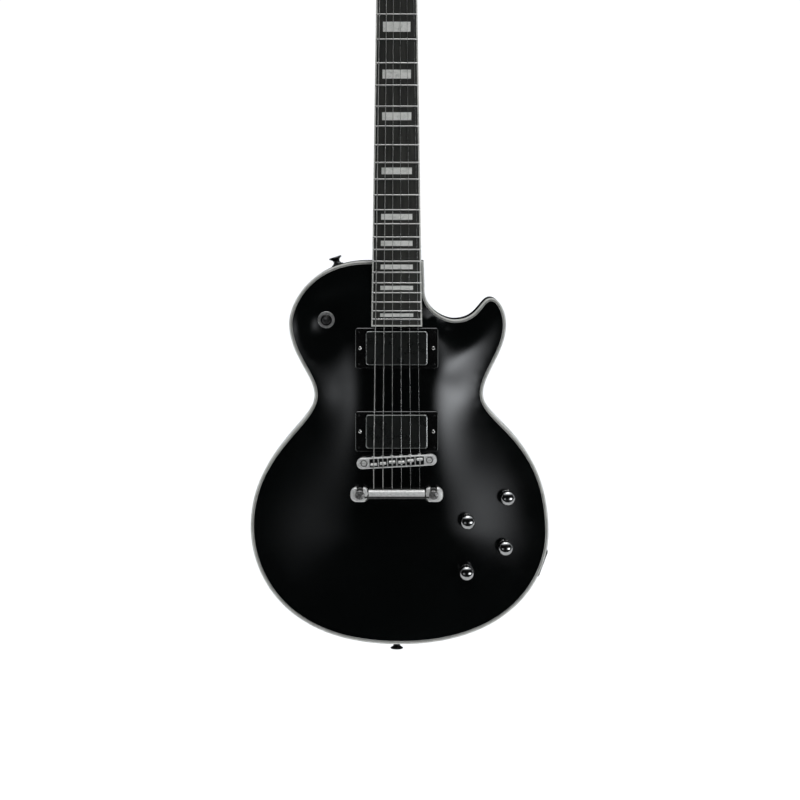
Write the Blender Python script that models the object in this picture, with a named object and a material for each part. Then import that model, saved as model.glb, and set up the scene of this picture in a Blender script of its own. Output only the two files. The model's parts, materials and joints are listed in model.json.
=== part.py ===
"""Electric guitar: carved single-cutaway body, set neck, two pickups, fixed bridge, 3+3 headstock.

Frame: metres, +Z up the neck, front faces -Y, bass side at -X. The origin is the centre of the
outer face of the tail strap button. y = 0 is the middle of the 50 mm body rim.
"""
import math

import bmesh
import bpy
from mathutils import Matrix, Vector
from mathutils.geometry import delaunay_2d_cdt

for stale in list(bpy.data.objects):
    bpy.data.objects.remove(stale, do_unlink=True)

MM = 0.001
GAP = 0.0003            # clearance left at every glued or resting contact
HALF_GAP = GAP / 2

# Stringed lengths
SCALE_LENGTH = 0.62865
BRIDGE_Z = 0.227
NUT_Z = BRIDGE_Z + SCALE_LENGTH
FRETS = 24
BOARD_END_Z = 0.376
NUT_WIDTH = 0.043
BOARD_TAPER = 0.0299    # width gained per metre of length, in metres
BOARD_RADIUS = 0.305
BOARD_THICK = 0.006
BOARD_END_Y = -0.0405
BOARD_SLOPE = 0.063     # the neck leans back by this much per metre
FRET_HEIGHT = 0.001

# Body, front to back
BACK_Y = 0.025
JOINT_Y = -0.020        # glue line between the mahogany back and the maple cap
RIM_Y = -0.025
CARVE_HEIGHT = 0.011
FLAT_FIELDS = ((-0.036, 0.036, 0.150, 0.386), (-0.088, -0.036, 0.372, 0.394), (0.030, 0.042, 0.330, 0.372))
FIELD_BLEND = 0.006
PLATEAU_Y = RIM_Y - CARVE_HEIGHT
SEAT_Y = PLATEAU_Y - GAP
BINDING_WIDTH = 0.004
EDGE_RADIUS = 0.005

# Body outline, millimetres: x, z, travel angle, handle before, handle after
OUTLINE = (
    (3, 10, 0, 140, 132),
    (173.5, 138, 90, 48, 112),
    (98, 299, 90, 34, 22),
    (124, 377, 90, 30, 16),
    (107, 407.5, 180, 9, 13),
    (65.5, 383, 180, 28, 11),
    (31.5, 421, 86, 27, 0),
    (30.5, 449.5, 180, 0, 0),
    (-32, 449.5, 180, 0, 68),
    (-122, 379, 270, 20, 36),
    (-93.5, 297.5, 270, 22, 34),
    (-167, 145, 270, 88, 46),
)
STRAIGHT_RUNS = (6, 7)  # the two runs beside the neck
RUN_POINTS = 11

# Neck
TENON_HALF = 0.019
TENON_BACK_Y = 0.005
SHAFT = (               # z, depth behind the board, squareness of the section
    (0.4501, 0.040, 5.0),
    (0.464, 0.036, 4.2),
    (0.480, 0.0265, 3.2),
    (0.502, 0.0185, 2.4),
    (0.560, 0.0165, 2.2),
    (0.700, 0.0155, 2.1),
    (0.830, 0.0150, 2.1),
    (NUT_Z + 0.0055, 0.0158, 2.2),
)
HEAD_PITCH = math.radians(14.0) + math.atan(BOARD_SLOPE)
HEAD_THICK = 0.0145
HEAD_OUTLINE = (        # half width, distance from the nut, millimetres
    (17, 0), (21.6, 5), (24, 14), (31, 24), (34.5, 34), (36, 60), (38, 105),
    (40, 148), (38.5, 158), (31, 165), (20, 169), (8, 174.5), (0, 176),
)
POST_ROWS = (0.042, 0.084, 0.126)
POST_HALF = (0.024, 0.0265, 0.029)
POST_RADIUS = 0.0031
WRAP_RADIUS = 0.0043
WRAP_HEIGHT = 0.0055
WORM_OFFSET = 0.0056
WORM_DEPTH = -0.0198

# Strings, bass to treble
STRING_RADII = (0.00058, 0.00046, 0.00034, 0.00024, 0.00019, 0.00015)
SPREAD_NUT = 0.0355
SPREAD_BRIDGE = 0.052
STRING_BRIDGE_Y = -0.0535
STRING_NUT_Y = -0.0124

# Bridge and tailpiece
BRIDGE_CENTRE_Z = 0.2236
BRIDGE_SLANT = math.radians(3.1)
BRIDGE_LENGTH = 0.0905
BRIDGE_WIDTH = 0.0125
BRIDGE_BACK_Y = -0.0405
BRIDGE_FRONT_Y = -0.0500
BRIDGE_POST_HALF = 0.037
SADDLE_HALF = 0.002
SADDLE_TRAVEL = 0.0024
SADDLE_STAGGER = (-0.0016, -0.0008, 0.0004, -0.0004, 0.0008, 0.0016)
SADDLE_FLOOR_Y = -0.0440
TAIL_Z = 0.1860
TAIL_STUD_HALF = 0.04175
TAIL_BACK_Y = -0.0400
TAIL_FRONT_Y = -0.0505
TAIL_HOLE_Y = -0.0455

# Pickups and controls
PICKUPS = (("neck", 0.3515, -0.0395, -0.0415), ("bridge", 0.2575, -0.0440, -0.0475))
PICKUP_DEPTH = 0.0175
KNOBS = ((0.1260, 0.1805), (0.0806, 0.1541), (0.1238, 0.1234), (0.0796, 0.0952))
KNOB_RADIUS = 0.0085
KNOB_HEIGHT = 0.0168
KNOB_DOME = 0.0046
KNOB_CLEARANCE = 0.0013
TOGGLE = (-0.0795, 0.3834)
TOGGLE_PIVOT_Y = -0.0300
CAVITY_CORE = ((64, 80), (92, 76), (140, 104), (142, 188), (112, 196), (64, 168))
JACK_BORE = 0.0036


# ---------------------------------------------------------------- helpers
def material(name, rgb, roughness, metallic=0.0):
    mat = bpy.data.materials.new(name)
    mat.use_nodes = True
    shader = mat.node_tree.nodes["Principled BSDF"]
    shader.inputs["Base Color"].default_value = (*rgb, 1.0)
    shader.inputs["Roughness"].default_value = roughness
    shader.inputs["Metallic"].default_value = metallic
    return mat


def add_object(name, bm, look=None, origin=(0, 0, 0), flat=False):
    """Link a bmesh as an object whose origin sits at the given world point."""
    bmesh.ops.recalc_face_normals(bm, faces=bm.faces)
    bmesh.ops.translate(bm, verts=bm.verts, vec=-Vector(origin))
    mesh = bpy.data.meshes.new(name)
    bm.to_mesh(mesh)
    bm.free()
    obj = bpy.data.objects.new(name, mesh)
    obj.location = origin
    bpy.context.scene.collection.objects.link(obj)
    if look:
        mesh.materials.append(material(name + "_look", *look))
    if not flat:
        mesh.shade_smooth()
        mesh.set_sharp_from_angle(angle=math.radians(35))
    return obj


def apply_boolean(target, tools, operation="DIFFERENCE"):
    """Cut or join the target with each tool in turn; the tools are used up."""
    for tool in tools:
        step = target.modifiers.new("step", "BOOLEAN")
        step.operation = operation
        step.solver = "EXACT"
        step.object = tool
        tool.hide_render = True
        tool.display_type = "WIRE"
        bpy.context.view_layer.update()
        view = target.evaluated_get(bpy.context.evaluated_depsgraph_get())
        result = bpy.data.meshes.new_from_object(view)
        target.modifiers.remove(step)
        previous = target.data
        target.data = result
        bpy.data.meshes.remove(previous)
        bpy.data.objects.remove(tool, do_unlink=True)
    clean = bmesh.new()
    clean.from_mesh(target.data)
    bmesh.ops.remove_doubles(clean, verts=clean.verts, dist=1e-6)
    bmesh.ops.dissolve_degenerate(clean, edges=clean.edges, dist=1e-6)
    clean.to_mesh(target.data)
    clean.free()
    while len(target.data.materials) > 1:
        target.data.materials.pop(index=len(target.data.materials) - 1)
    target.data.shade_smooth()
    target.data.set_sharp_from_angle(angle=math.radians(35))
    return target


def skin(rings):
    """Close a stack of equal-length rings into one solid."""
    bm = bmesh.new()
    rows = [[bm.verts.new(p) for p in ring] for ring in rings]
    for low, high in zip(rows, rows[1:]):
        for i in range(len(low)):
            j = (i + 1) % len(low)
            bm.faces.new((low[i], low[j], high[j], high[i]))
    bm.faces.new(list(reversed(rows[0])))
    bm.faces.new(rows[-1])
    return bm


def prism_y(loop, y_a, y_b):
    """Extrude an (x, z) loop along Y."""
    return skin([[(x, y, z) for x, z in loop] for y in (y_a, y_b)])


def box(x0, x1, y0, y1, z0, z1):
    return prism_y(((x0, z0), (x1, z0), (x1, z1), (x0, z1)), y0, y1)


def frame_of(origin, axis, side=(1, 0, 0)):
    """Matrix whose local Z runs along the axis."""
    w = Vector(axis).normalized()
    u = Vector(side) if abs(w.dot(Vector(side))) < 0.99 else Vector((0, 1, 0))
    u = (u - w * u.dot(w)).normalized()
    v = w.cross(u)
    return Matrix.Translation(Vector(origin)) @ Matrix((u, v, w)).transposed().to_4x4()


def turned(profile, origin, axis, sides=16, bore=()):
    """Solid of revolution from (radius, height) pairs; a bore profile makes a blind hole."""
    bm = bmesh.new()
    place = frame_of(origin, axis)
    rows = []
    for radius, height in list(profile) + list(bore):
        if radius == 0:
            rows.append([bm.verts.new(place @ Vector((0, 0, height)))])
            continue
        rows.append([
            bm.verts.new(place @ Vector((
                radius * math.cos(math.tau * k / sides), radius * math.sin(math.tau * k / sides), height)))
            for k in range(sides)
        ])
    for low, high in zip(rows, rows[1:]):
        for k in range(sides):
            n = (k + 1) % sides
            corners = [low[k % len(low)], low[n % len(low)], high[n % len(high)], high[k % len(high)]]
            kept = list(dict.fromkeys(corners))
            bm.faces.new(kept)
    return bm


def rounded_rect(cx, cz, width, height, radius, steps=3):
    points = []
    for sx, sz, start in ((1, 1, 0), (-1, 1, 90), (-1, -1, 180), (1, -1, 270)):
        for k in range(steps + 1):
            a = math.radians(start + 90 * k / steps)
            x = cx + sx * (width / 2 - radius) + radius * math.cos(a)
            z = cz + sz * (height / 2 - radius) + radius * math.sin(a)
            points.append((x, z))
    return points


def grown_polygon(core, radius, steps=3):
    """Convex (x, z) polygon in millimetres, grown by a radius with round corners."""
    points = []
    count = len(core)
    for i in range(count):
        a, b, c = (Vector(core[(i + d) % count]) * MM for d in (-1, 0, 1))
        first = math.atan2(-(b - a).x, (b - a).y)
        second = math.atan2(-(c - b).x, (c - b).y)
        turn = (second - first) % math.tau
        for k in range(steps + 1):
            angle = first + turn * k / steps
            points.append((b.x + radius * math.cos(angle), b.y + radius * math.sin(angle)))
    return points


def tube(points, radius, sides=6):
    """Round bar along a polyline."""
    path = [Vector(p) for p in points]
    rings = []
    for i, p in enumerate(path):
        ahead = (path[min(i + 1, len(path) - 1)] - p)
        behind = (p - path[max(i - 1, 0)])
        along = (ahead.normalized() if ahead.length else Vector()) + (
            behind.normalized() if behind.length else Vector())
        place = frame_of(p, along)
        rings.append([
            place @ Vector((radius * math.cos(math.tau * k / sides), radius * math.sin(math.tau * k / sides), 0))
            for k in range(sides)
        ])
    return skin(rings)


# ---------------------------------------------------------------- shared geometry
def outline_points():
    """The body outline, counterclockwise seen from the front, as (x, z) in metres."""
    points = []
    count = len(OUTLINE)
    for i in range(count):
        ax, az, a_angle, _, a_out = OUTLINE[i]
        bx, bz, b_angle, b_in, _ = OUTLINE[(i + 1) % count]
        start = Vector((ax, az))
        end = Vector((bx, bz))
        if i in STRAIGHT_RUNS:
            points.append(start * MM)
            continue
        go = Vector((math.cos(math.radians(a_angle)), math.sin(math.radians(a_angle))))
        come = Vector((math.cos(math.radians(b_angle)), math.sin(math.radians(b_angle))))
        h0 = start + go * a_out
        h1 = end - come * b_in
        for k in range(RUN_POINTS):
            t = k / RUN_POINTS
            s = 1 - t
            points.append((start * s ** 3 + h0 * 3 * t * s * s + h1 * 3 * t * t * s + end * t ** 3) * MM)
    return points


def inset(loop, distance):
    """Move a counterclockwise loop inwards by a mitred offset."""
    moved = []
    for i, p in enumerate(loop):
        a = (p - loop[i - 1]).normalized()
        b = (loop[(i + 1) % len(loop)] - p).normalized()
        na = Vector((-a.y, a.x))
        nb = Vector((-b.y, b.x))
        mid = (na + nb).normalized()
        moved.append(p + mid * distance / max(0.5, mid.dot(na)))
    return moved


def edge_distance(x, z, loop):
    """Distance from a point to the nearest edge of the loop."""
    p = Vector((x, z))
    best = 1.0
    for i in range(len(loop)):
        a = loop[i - 1]
        d = loop[i] - a
        t = max(0.0, min(1.0, (p - a).dot(d) / d.length_squared))
        best = min(best, (p - a - d * t).length)
    return best


def inside(x, z, loop):
    odd = False
    for i in range(len(loop)):
        a, b = loop[i - 1], loop[i]
        if (a.y > z) != (b.y > z) and x < a.x + (z - a.y) * (b.x - a.x) / (b.y - a.y):
            odd = not odd
    return odd


def smooth(t):
    t = max(0.0, min(1.0, t))
    return t * t * (3 - 2 * t)


def field_distance(x, z):
    """Distance to the flat middle of the top, softened where its two fields meet."""
    total = 0.0
    for left, right, low, high in FLAT_FIELDS:
        total += math.exp(-math.hypot(max(left - x, 0, x - right), max(low - z, 0, z - high)) / FIELD_BLEND)
    return max(0.0, -FIELD_BLEND * math.log(total))


def top_y(x, z, loop):
    """Front surface of the carved top: an arch from the flat middle down to the rim."""
    edge = edge_distance(x, z, loop)
    return RIM_Y - CARVE_HEIGHT * smooth(edge / (edge + field_distance(x, z) + 1e-9))


def board_y(z):
    """Crest of the fingerboard."""
    return BOARD_END_Y + BOARD_SLOPE * (z - BOARD_END_Z)


def board_width(z):
    return NUT_WIDTH + BOARD_TAPER * (NUT_Z - z)


def under_board_y(z):
    return board_y(z) + BOARD_THICK


def fret_z(n):
    return BRIDGE_Z + SCALE_LENGTH * 2 ** (-n / 12)


def string_x(i, spread):
    return -spread / 2 + spread * i / 5


def string_y(i, z):
    """Height of a string's centre line between the bridge and the nut."""
    t = (z - BRIDGE_Z) / SCALE_LENGTH
    x = string_x(i, SPREAD_BRIDGE) * (1 - t) + string_x(i, SPREAD_NUT) * t
    return STRING_BRIDGE_Y * (1 - t) + STRING_NUT_Y * t + x * x / (2 * BOARD_RADIUS)


LOOP = outline_points()
HEAD_START = Vector((0, under_board_y(NUT_Z + 0.0055), NUT_Z + 0.0055))
HEAD_UP = Vector((0, math.sin(HEAD_PITCH), math.cos(HEAD_PITCH)))
HEAD_FRONT = Vector((0, -math.cos(HEAD_PITCH), math.sin(HEAD_PITCH)))


def on_head(u, v, w=0.0):
    """Point on the headstock: across, up from the nut, and out of its face."""
    return HEAD_START + Vector((u, 0, 0)) + HEAD_UP * v + HEAD_FRONT * w


# ---------------------------------------------------------------- body
BLACK = ((0.006, 0.007, 0.007), 0.22, 0.0)
NICKEL = ((0.62, 0.61, 0.58), 0.22, 1.0)
CHARCOAL = ((0.02, 0.022, 0.02), 0.4, 0.0)


def neck_slot():
    """The neck's full width through the cap, open at the shoulder."""
    low = board_width(BOARD_END_Z) / 2 + GAP
    high = board_width(0.47) / 2 + GAP
    return prism_y(((-low, BOARD_END_Z - GAP), (low, BOARD_END_Z - GAP), (high, 0.47), (-high, 0.47)),
                   -0.06, JOINT_Y + 0.0005)


def make_body():
    rings = []
    for y, move in ((JOINT_Y + HALF_GAP, 0.0), (BACK_Y - EDGE_RADIUS, 0.0), (BACK_Y - 0.0024, 0.0008),
                    (BACK_Y - 0.0007, 0.0025), (BACK_Y, EDGE_RADIUS)):
        rings.append([(p.x, y, p.y) for p in (inset(LOOP, move) if move else LOOP)])
    back = add_object("body_back", skin(rings), ((0.012, 0.010, 0.009), 0.25, 0.0))
    cutters = [
        box(-TENON_HALF - GAP, TENON_HALF + GAP, -0.03, TENON_BACK_Y + GAP, BOARD_END_Z - GAP, 0.46),
        prism_y(grown_polygon(CAVITY_CORE, 0.004), -0.03, 0.03),
        prism_y(grown_polygon(CAVITY_CORE, 0.0095), BACK_Y - 0.0023, 0.03),
        turned(((0, -0.02), (0.019, -0.02), (0.019, 0.08), (0, 0.08)), (TOGGLE[0], -0.02, TOGGLE[1]),
               (0, 1, 0), 24),
        turned(((0, 0), (0.0245, 0), (0.0245, 0.02), (0, 0.02)), (TOGGLE[0], BACK_Y - 0.0023, TOGGLE[1]),
               (0, 1, 0), 28),
        turned(((0, -0.032), (0.0115, -0.032), (0.0115, 0.02), (0, 0.02)), JACK_SEAT, JACK_NORMAL, 20),
    ]
    apply_boolean(back, [add_object("cut", c) for c in cutters])

    rim = inset(LOOP, BINDING_WIDTH + GAP)
    binding_inner = inset(LOOP, BINDING_WIDTH)
    bm = bmesh.new()
    rows = []
    for y, loop in ((JOINT_Y - HALF_GAP, LOOP), (RIM_Y + 0.0004, LOOP), (RIM_Y, inset(LOOP, 0.0004)),
                    (RIM_Y, binding_inner), (JOINT_Y - HALF_GAP, binding_inner)):
        rows.append([bm.verts.new((p.x, y, p.y)) for p in loop])
    for low, high in zip(rows, rows[1:] + rows[:1]):
        for i in range(len(low)):
            j = (i + 1) % len(low)
            bm.faces.new((low[i], low[j], high[j], high[i]))
    binding = add_object("body_binding", bm, ((0.75, 0.75, 0.72), 0.35, 0.0))
    apply_boolean(binding, [add_object("cut", neck_slot())])

    points = list(rim)
    pitch = 0.0135
    rows_up = int(0.45 / (pitch * 0.866))
    for r in range(rows_up):
        z = 0.012 + r * pitch * 0.866
        for c in range(-14, 15):
            x = (c + 0.5 * (r % 2)) * pitch
            if inside(x, z, rim) and edge_distance(x, z, rim) > 0.45 * pitch:
                points.append(Vector((x, z)))
    border = [(i, (i + 1) % len(rim)) for i in range(len(rim))]
    flat, _, faces, _, _, _ = delaunay_2d_cdt(points, border, [], 1, 1e-7)
    bm = bmesh.new()
    front = [bm.verts.new((p.x, top_y(p.x, p.y, LOOP), p.y)) for p in flat]
    for face in faces:
        bm.faces.new([front[i] for i in face])
    under = [bm.verts.new((p.x, JOINT_Y - HALF_GAP, p.y)) for p in rim]
    for i in range(len(rim)):
        j = (i + 1) % len(rim)
        bm.faces.new((front[i], front[j], under[j], under[i]))
    bm.faces.new(under)
    top = add_object("body_top", bm, BLACK)
    cutters = [neck_slot()]
    for _, z, _, _ in PICKUPS:
        cutters.append(prism_y(rounded_rect(0, z, 0.073, 0.0412, 0.004), -0.06, 0.0))
    holes = [(x, z, 0.0052) for x, z in KNOBS]
    holes.append((*TOGGLE, 0.0063))
    for side in (-1, 1):
        x, z = bridge_point(side * BRIDGE_POST_HALF, 0)
        holes.append((x, z, 0.0043))
        holes.append((side * TAIL_STUD_HALF, TAIL_Z, 0.0060))
    for x, z, radius in holes:
        cutters.append(turned(((0, 0), (radius, 0), (radius, 0.07), (0, 0.07)), (x, -0.06, z), (0, 1, 0), 14))
    apply_boolean(top, [add_object("cut", c) for c in cutters])


def bridge_point(across, along):
    """World (x, z) of a point given in the slanted bridge's own directions."""
    c, s = math.cos(BRIDGE_SLANT), math.sin(BRIDGE_SLANT)
    return across * c - along * s, BRIDGE_CENTRE_Z + across * s + along * c


def outline_seat(target):
    """Point of the outline nearest to a target, and the outward normal there."""
    target = Vector(target)
    count = len(LOOP)
    best = None
    for i in range(count):
        a, b = LOOP[i], LOOP[(i + 1) % count]
        t = max(0.0, min(1.0, (target - a).dot(b - a) / (b - a).length_squared))
        point = a.lerp(b, t)
        if best is None or (target - point).length < best[0]:
            before = (b - LOOP[i - 1]).normalized()
            after = (LOOP[(i + 2) % count] - a).normalized()
            best = ((target - point).length, point, before.lerp(after, t).normalized())
    _, point, along = best
    return Vector((point.x, 0, point.y)), Vector((along.y, 0, -along.x))


# ---------------------------------------------------------------- neck
def section(z, depth, power, front_y, half, steps=12):
    """Neck cross-section: flat front, rounded back."""
    ring = []
    for k in range(steps + 1):
        a = math.pi * k / steps
        c, s = math.cos(a), math.sin(a)
        x = half * math.copysign(abs(c) ** (2 / power), c)
        ring.append((x, front_y + depth * s ** (2 / power), z))
    return ring


def head_loop():
    right = [(u * MM, v * MM) for u, v in HEAD_OUTLINE]
    left = [(-u, v) for u, v in reversed(right[:-1])]
    return right + left


def make_neck():
    lift = HALF_GAP
    rings = []
    for z, depth, power in SHAFT:
        rings.append(section(z, depth, power, under_board_y(z) + lift, board_width(z) / 2))
    z = NUT_Z + 0.014
    y = on_head(0, (z - HEAD_START.z) / HEAD_UP.z).y + 0.0008
    rings.append(section(z, 0.0125, 2.4, y, 0.0195))
    neck = add_object("neck", skin(rings), ((0.010, 0.009, 0.008), 0.28, 0.0))

    low_z, high_z = BOARD_END_Z, 0.4515
    block = []
    for z in (low_z, high_z):
        half = board_width(z) / 2
        block.append([(-half, under_board_y(z) + lift, z), (half, under_board_y(z) + lift, z),
                      (half, JOINT_Y - HALF_GAP, z), (-half, JOINT_Y - HALF_GAP, z)])
    head = skin([[tuple(on_head(u, v, w)) for u, v in head_loop()] for w in (0.0, -HEAD_THICK)])
    parts = [
        skin(block),
        box(-TENON_HALF, TENON_HALF, -0.026, TENON_BACK_Y, BOARD_END_Z, 0.4515),
        head,
    ]
    apply_boolean(neck, [add_object("join", p) for p in parts], "UNION")

    channel = []
    for z in (0.44, NUT_Z - 0.004):
        y = under_board_y(z)
        channel.append([(-0.0032, y - 0.004, z), (0.0032, y - 0.004, z), (0.0032, y + 0.0095, z),
                        (-0.0032, y + 0.0095, z)])
    cutters = [skin(channel)]
    for row, half in zip(POST_ROWS, POST_HALF):
        for side in (-1, 1):
            cutters.append(turned(((0, -0.03), (0.0049, -0.03), (0.0049, 0.01), (0, 0.01)),
                                  on_head(side * half, row), HEAD_FRONT, 14))
    apply_boolean(neck, [add_object("cut", c) for c in cutters])

    rod = []
    for z in (0.4403, NUT_Z - 0.0045):
        y = under_board_y(z)
        rod.append([(-0.0029, y + 0.0004, z), (0.0029, y + 0.0004, z), (0.0029, y + 0.0092, z),
                    (-0.0029, y + 0.0092, z)])
    add_object("truss_rod", skin(rod), ((0.35, 0.35, 0.36), 0.4, 1.0))


def board_ring(z, lift, steps=4):
    """Fingerboard cross-section with its crown raised by lift."""
    half = board_width(z) / 2
    ring = [(-half, under_board_y(z) - HALF_GAP, z), (half, under_board_y(z) - HALF_GAP, z)]
    for k in range(steps + 1):
        x = half - 2 * half * k / steps
        ring.append((x, board_y(z) - lift + x * x / (2 * BOARD_RADIUS), z))
    return ring


def make_fretboard():
    rings = [board_ring(BOARD_END_Z, 0)]
    for n in range(FRETS, 0, -1):
        z = fret_z(n)
        rings.append(board_ring(z - 0.0013, 0))
        rings.append(board_ring(z - 0.0007, FRET_HEIGHT))
        rings.append(board_ring(z + 0.0007, FRET_HEIGHT))
        rings.append(board_ring(z + 0.0013, 0))
    rings.append(board_ring(NUT_Z - GAP, 0))
    add_object("fretboard", skin(rings), ((0.030, 0.028, 0.026), 0.45, 0.0))


def make_nut():
    half = NUT_WIDTH / 2
    base = under_board_y(NUT_Z) - 0.0003
    outline = [(-half, base), (half, base)]
    for i in reversed(range(6)):
        x = string_x(i, SPREAD_NUT)
        radius = STRING_RADII[i]
        y = string_y(i, NUT_Z)
        crest = y - 0.0006
        floor = y + radius + 0.0004
        wide = radius + 0.0004
        if i == 5:
            outline.append((half, crest + 0.0003))
        outline += [(x + wide, crest), (x + wide, floor), (x - wide, floor), (x - wide, crest)]
        if i == 0:
            outline.append((-half, crest + 0.0003))
    rings = [[(x, y, z) for x, y in outline] for z in (NUT_Z, NUT_Z + 0.005)]
    add_object("nut", skin(rings), ((0.8, 0.78, 0.72), 0.4, 0.0), flat=True)


# ---------------------------------------------------------------- tuners and strings
def post_place(i):
    """Side, half distance and row of the post that takes string i."""
    side = -1 if i < 3 else 1
    row = i if i < 3 else 5 - i
    return side, POST_HALF[row], POST_ROWS[row]


def make_tuners():
    for i in range(6):
        side, half, row = post_place(i)
        foot = on_head(side * half, row)
        worm_v = row - WORM_OFFSET
        shell = []
        for w in (-HEAD_THICK - GAP, -HEAD_THICK - 0.0105):
            shell.append([tuple(on_head(u, v, w)) for u, v in
                          rounded_rect(side * half, row - 0.0025, 0.0145, 0.0185, 0.003, 2)])
        housing = add_object("tuner_housing_%d" % (i + 1), skin(shell), NICKEL)
        sleeve = turned(((0, -HEAD_THICK - 0.001), (0.0046, -HEAD_THICK - 0.001), (0.0046, GAP),
                         (0.0056, GAP), (0.0056, 0.0016), (0.0048, 0.0023), (0, 0.0023)),
                        foot, HEAD_FRONT, 12)
        apply_boolean(housing, [add_object("join", sleeve)], "UNION")
        post_bore = turned(((0, -0.0238), (0.0035, -0.0238), (0.0035, 0.01), (0, 0.01)), foot, HEAD_FRONT, 12)
        worm_bore = turned(((0, -0.006), (0.0022, -0.006), (0.0022, 0.02), (0, 0.02)),
                           on_head(side * half, worm_v, WORM_DEPTH), (side, 0, 0), 10)
        apply_boolean(housing, [add_object("cut", post_bore), add_object("cut", worm_bore)])

        post = turned(((0, -0.0234), (POST_RADIUS, -0.0234), (POST_RADIUS, 0.0030), (WRAP_RADIUS, 0.0032),
                       (WRAP_RADIUS, 0.0078), (POST_RADIUS, 0.0080), (0.0026, 0.0100), (POST_RADIUS, 0.0125),
                       (POST_RADIUS, 0.0158), (0.0026, 0.0165), (0, 0.0165)), foot, HEAD_FRONT, 12)
        add_object("tuner_post_%d" % (i + 1), post, NICKEL, foot)

        pivot = on_head(side * half, worm_v, WORM_DEPTH)
        edge = 0.0435 - half if row < 0.1 else 0.0460 - half
        button = turned(((0, -0.005), (0.0018, -0.005), (0.0018, edge - 0.002), (0.0032, edge - 0.001),
                         (0.0032, edge + 0.0005), (0.0050, edge + 0.0015), (0.0080, edge + 0.005),
                         (0.0085, edge + 0.009), (0.0070, edge + 0.0125), (0.0035, edge + 0.0145),
                         (0, edge + 0.0148)), pivot, (side, 0, 0), 12)
        flatten = Matrix.Translation(pivot) @ flat_button_matrix() @ Matrix.Translation(-pivot)
        for vert in button.verts:
            reach = (vert.co.x - pivot.x) * side
            if reach > edge + 0.001:
                vert.co = flatten @ vert.co
        add_object("tuner_button_%d" % (i + 1), button, NICKEL, pivot)


def flat_button_matrix():
    """Thins a tuner button to half its width across the headstock's face direction."""
    return Matrix.Scale(0.5, 4, HEAD_FRONT)


def make_strings():
    for i in range(6):
        side, half, row = post_place(i)
        radius = STRING_RADII[i]
        x0 = string_x(i, SPREAD_BRIDGE)
        x1 = string_x(i, SPREAD_NUT)
        peak_z = saddle_place(i)[1]
        kink_z = peak_z - 0.0045
        y_kink = string_y(i, kink_z)
        reach = WRAP_RADIUS + radius + GAP
        end = on_head(side * (half - reach), row, WRAP_HEIGHT)
        nut_y = string_y(i, NUT_Z)
        points = [
            (x0, TAIL_HOLE_Y - 0.0002, TAIL_Z - 0.001),
            (x0, TAIL_HOLE_Y - 0.0004, TAIL_Z + 0.0045),
            (x0, y_kink, kink_z),
            (x1, nut_y, NUT_Z + 0.0005),
            (x1, nut_y + 0.0002, NUT_Z + 0.0045),
            tuple(end),
        ]
        add_object("string_%d" % (i + 1), tube(points, radius), ((0.55, 0.54, 0.5), 0.3, 1.0))


# ---------------------------------------------------------------- bridge and tailpiece
def saddle_place(i):
    """World (x, z) of a saddle's crest at its nominal place."""
    across = string_x(i, SPREAD_BRIDGE) / math.cos(BRIDGE_SLANT)
    return bridge_point(across, SADDLE_STAGGER[i])


def slanted(loop):
    return [bridge_point(a, b) for a, b in loop]


def make_bridge():
    outer = slanted(rounded_rect(0, 0, BRIDGE_LENGTH, BRIDGE_WIDTH, 0.006, 4))
    inner = slanted(rounded_rect(0, 0, BRIDGE_LENGTH - 0.0008, BRIDGE_WIDTH - 0.0008, 0.0056, 4))
    rings = [[(x, BRIDGE_BACK_Y, z) for x, z in outer], [(x, BRIDGE_FRONT_Y + 0.0004, z) for x, z in outer],
             [(x, BRIDGE_FRONT_Y, z) for x, z in inner]]
    base = add_object("bridge_base", skin(rings), NICKEL)
    room = SADDLE_HALF + SADDLE_TRAVEL + GAP
    channel = slanted(((-0.0315, -room), (0.0315, -room), (0.0315, room), (-0.0315, room)))
    cutters = [prism_y(channel, -0.06, SADDLE_FLOOR_Y)]
    for side in (-1, 1):
        x, z = bridge_point(side * BRIDGE_POST_HALF, 0)
        cutters.append(turned(((0, 0), (0.0034, 0), (0.0034, 0.03), (0, 0.03)), (x, -0.06, z), (0, 1, 0), 14))
    apply_boolean(base, [add_object("cut", c) for c in cutters])

    for i in range(6):
        radius = STRING_RADII[i]
        crest = string_y(i, saddle_place(i)[1]) + radius + 0.0004
        foot = SADDLE_FLOOR_Y - GAP
        across = string_x(i, SPREAD_BRIDGE) / math.cos(BRIDGE_SLANT)
        wedge = ((-SADDLE_HALF, foot), (SADDLE_HALF, foot), (SADDLE_HALF, crest + 0.0024),
                 (0.0004, crest), (-0.0004, crest), (-SADDLE_HALF, crest + 0.0024))
        rings = []
        for shift in (-0.0042, 0.0042):
            ring = []
            for along, y in wedge:
                x, z = bridge_point(across + shift, SADDLE_STAGGER[i] + along)
                ring.append((x, y, z))
            rings.append(ring)
        x, z = saddle_place(i)
        add_object("saddle_%d" % (i + 1), skin(rings), NICKEL, (x, foot, z), flat=True)

    for side, name in ((-1, "bass"), (1, "treble")):
        x, z = bridge_point(side * BRIDGE_POST_HALF, 0)
        profile = ((0, -0.0210), (0.0040, -0.0210), (0.0040, -0.0363), (0.0055, -0.0363),
                   (0.0055, -0.0368), (0.0030, -0.0368), (0.0030, -0.0374), (0.0070, -0.0374),
                   (0.0070, -0.0401), (0.0030, -0.0401), (0.0030, -0.0492), (0.0026, -0.0496),
                   (0, -0.0496))
        post = turned([(r, -y) for r, y in profile], (x, 0, z), (0, -1, 0), 16)
        add_object("bridge_post_" + name, post, NICKEL, (x, SEAT_Y, z))


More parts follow.
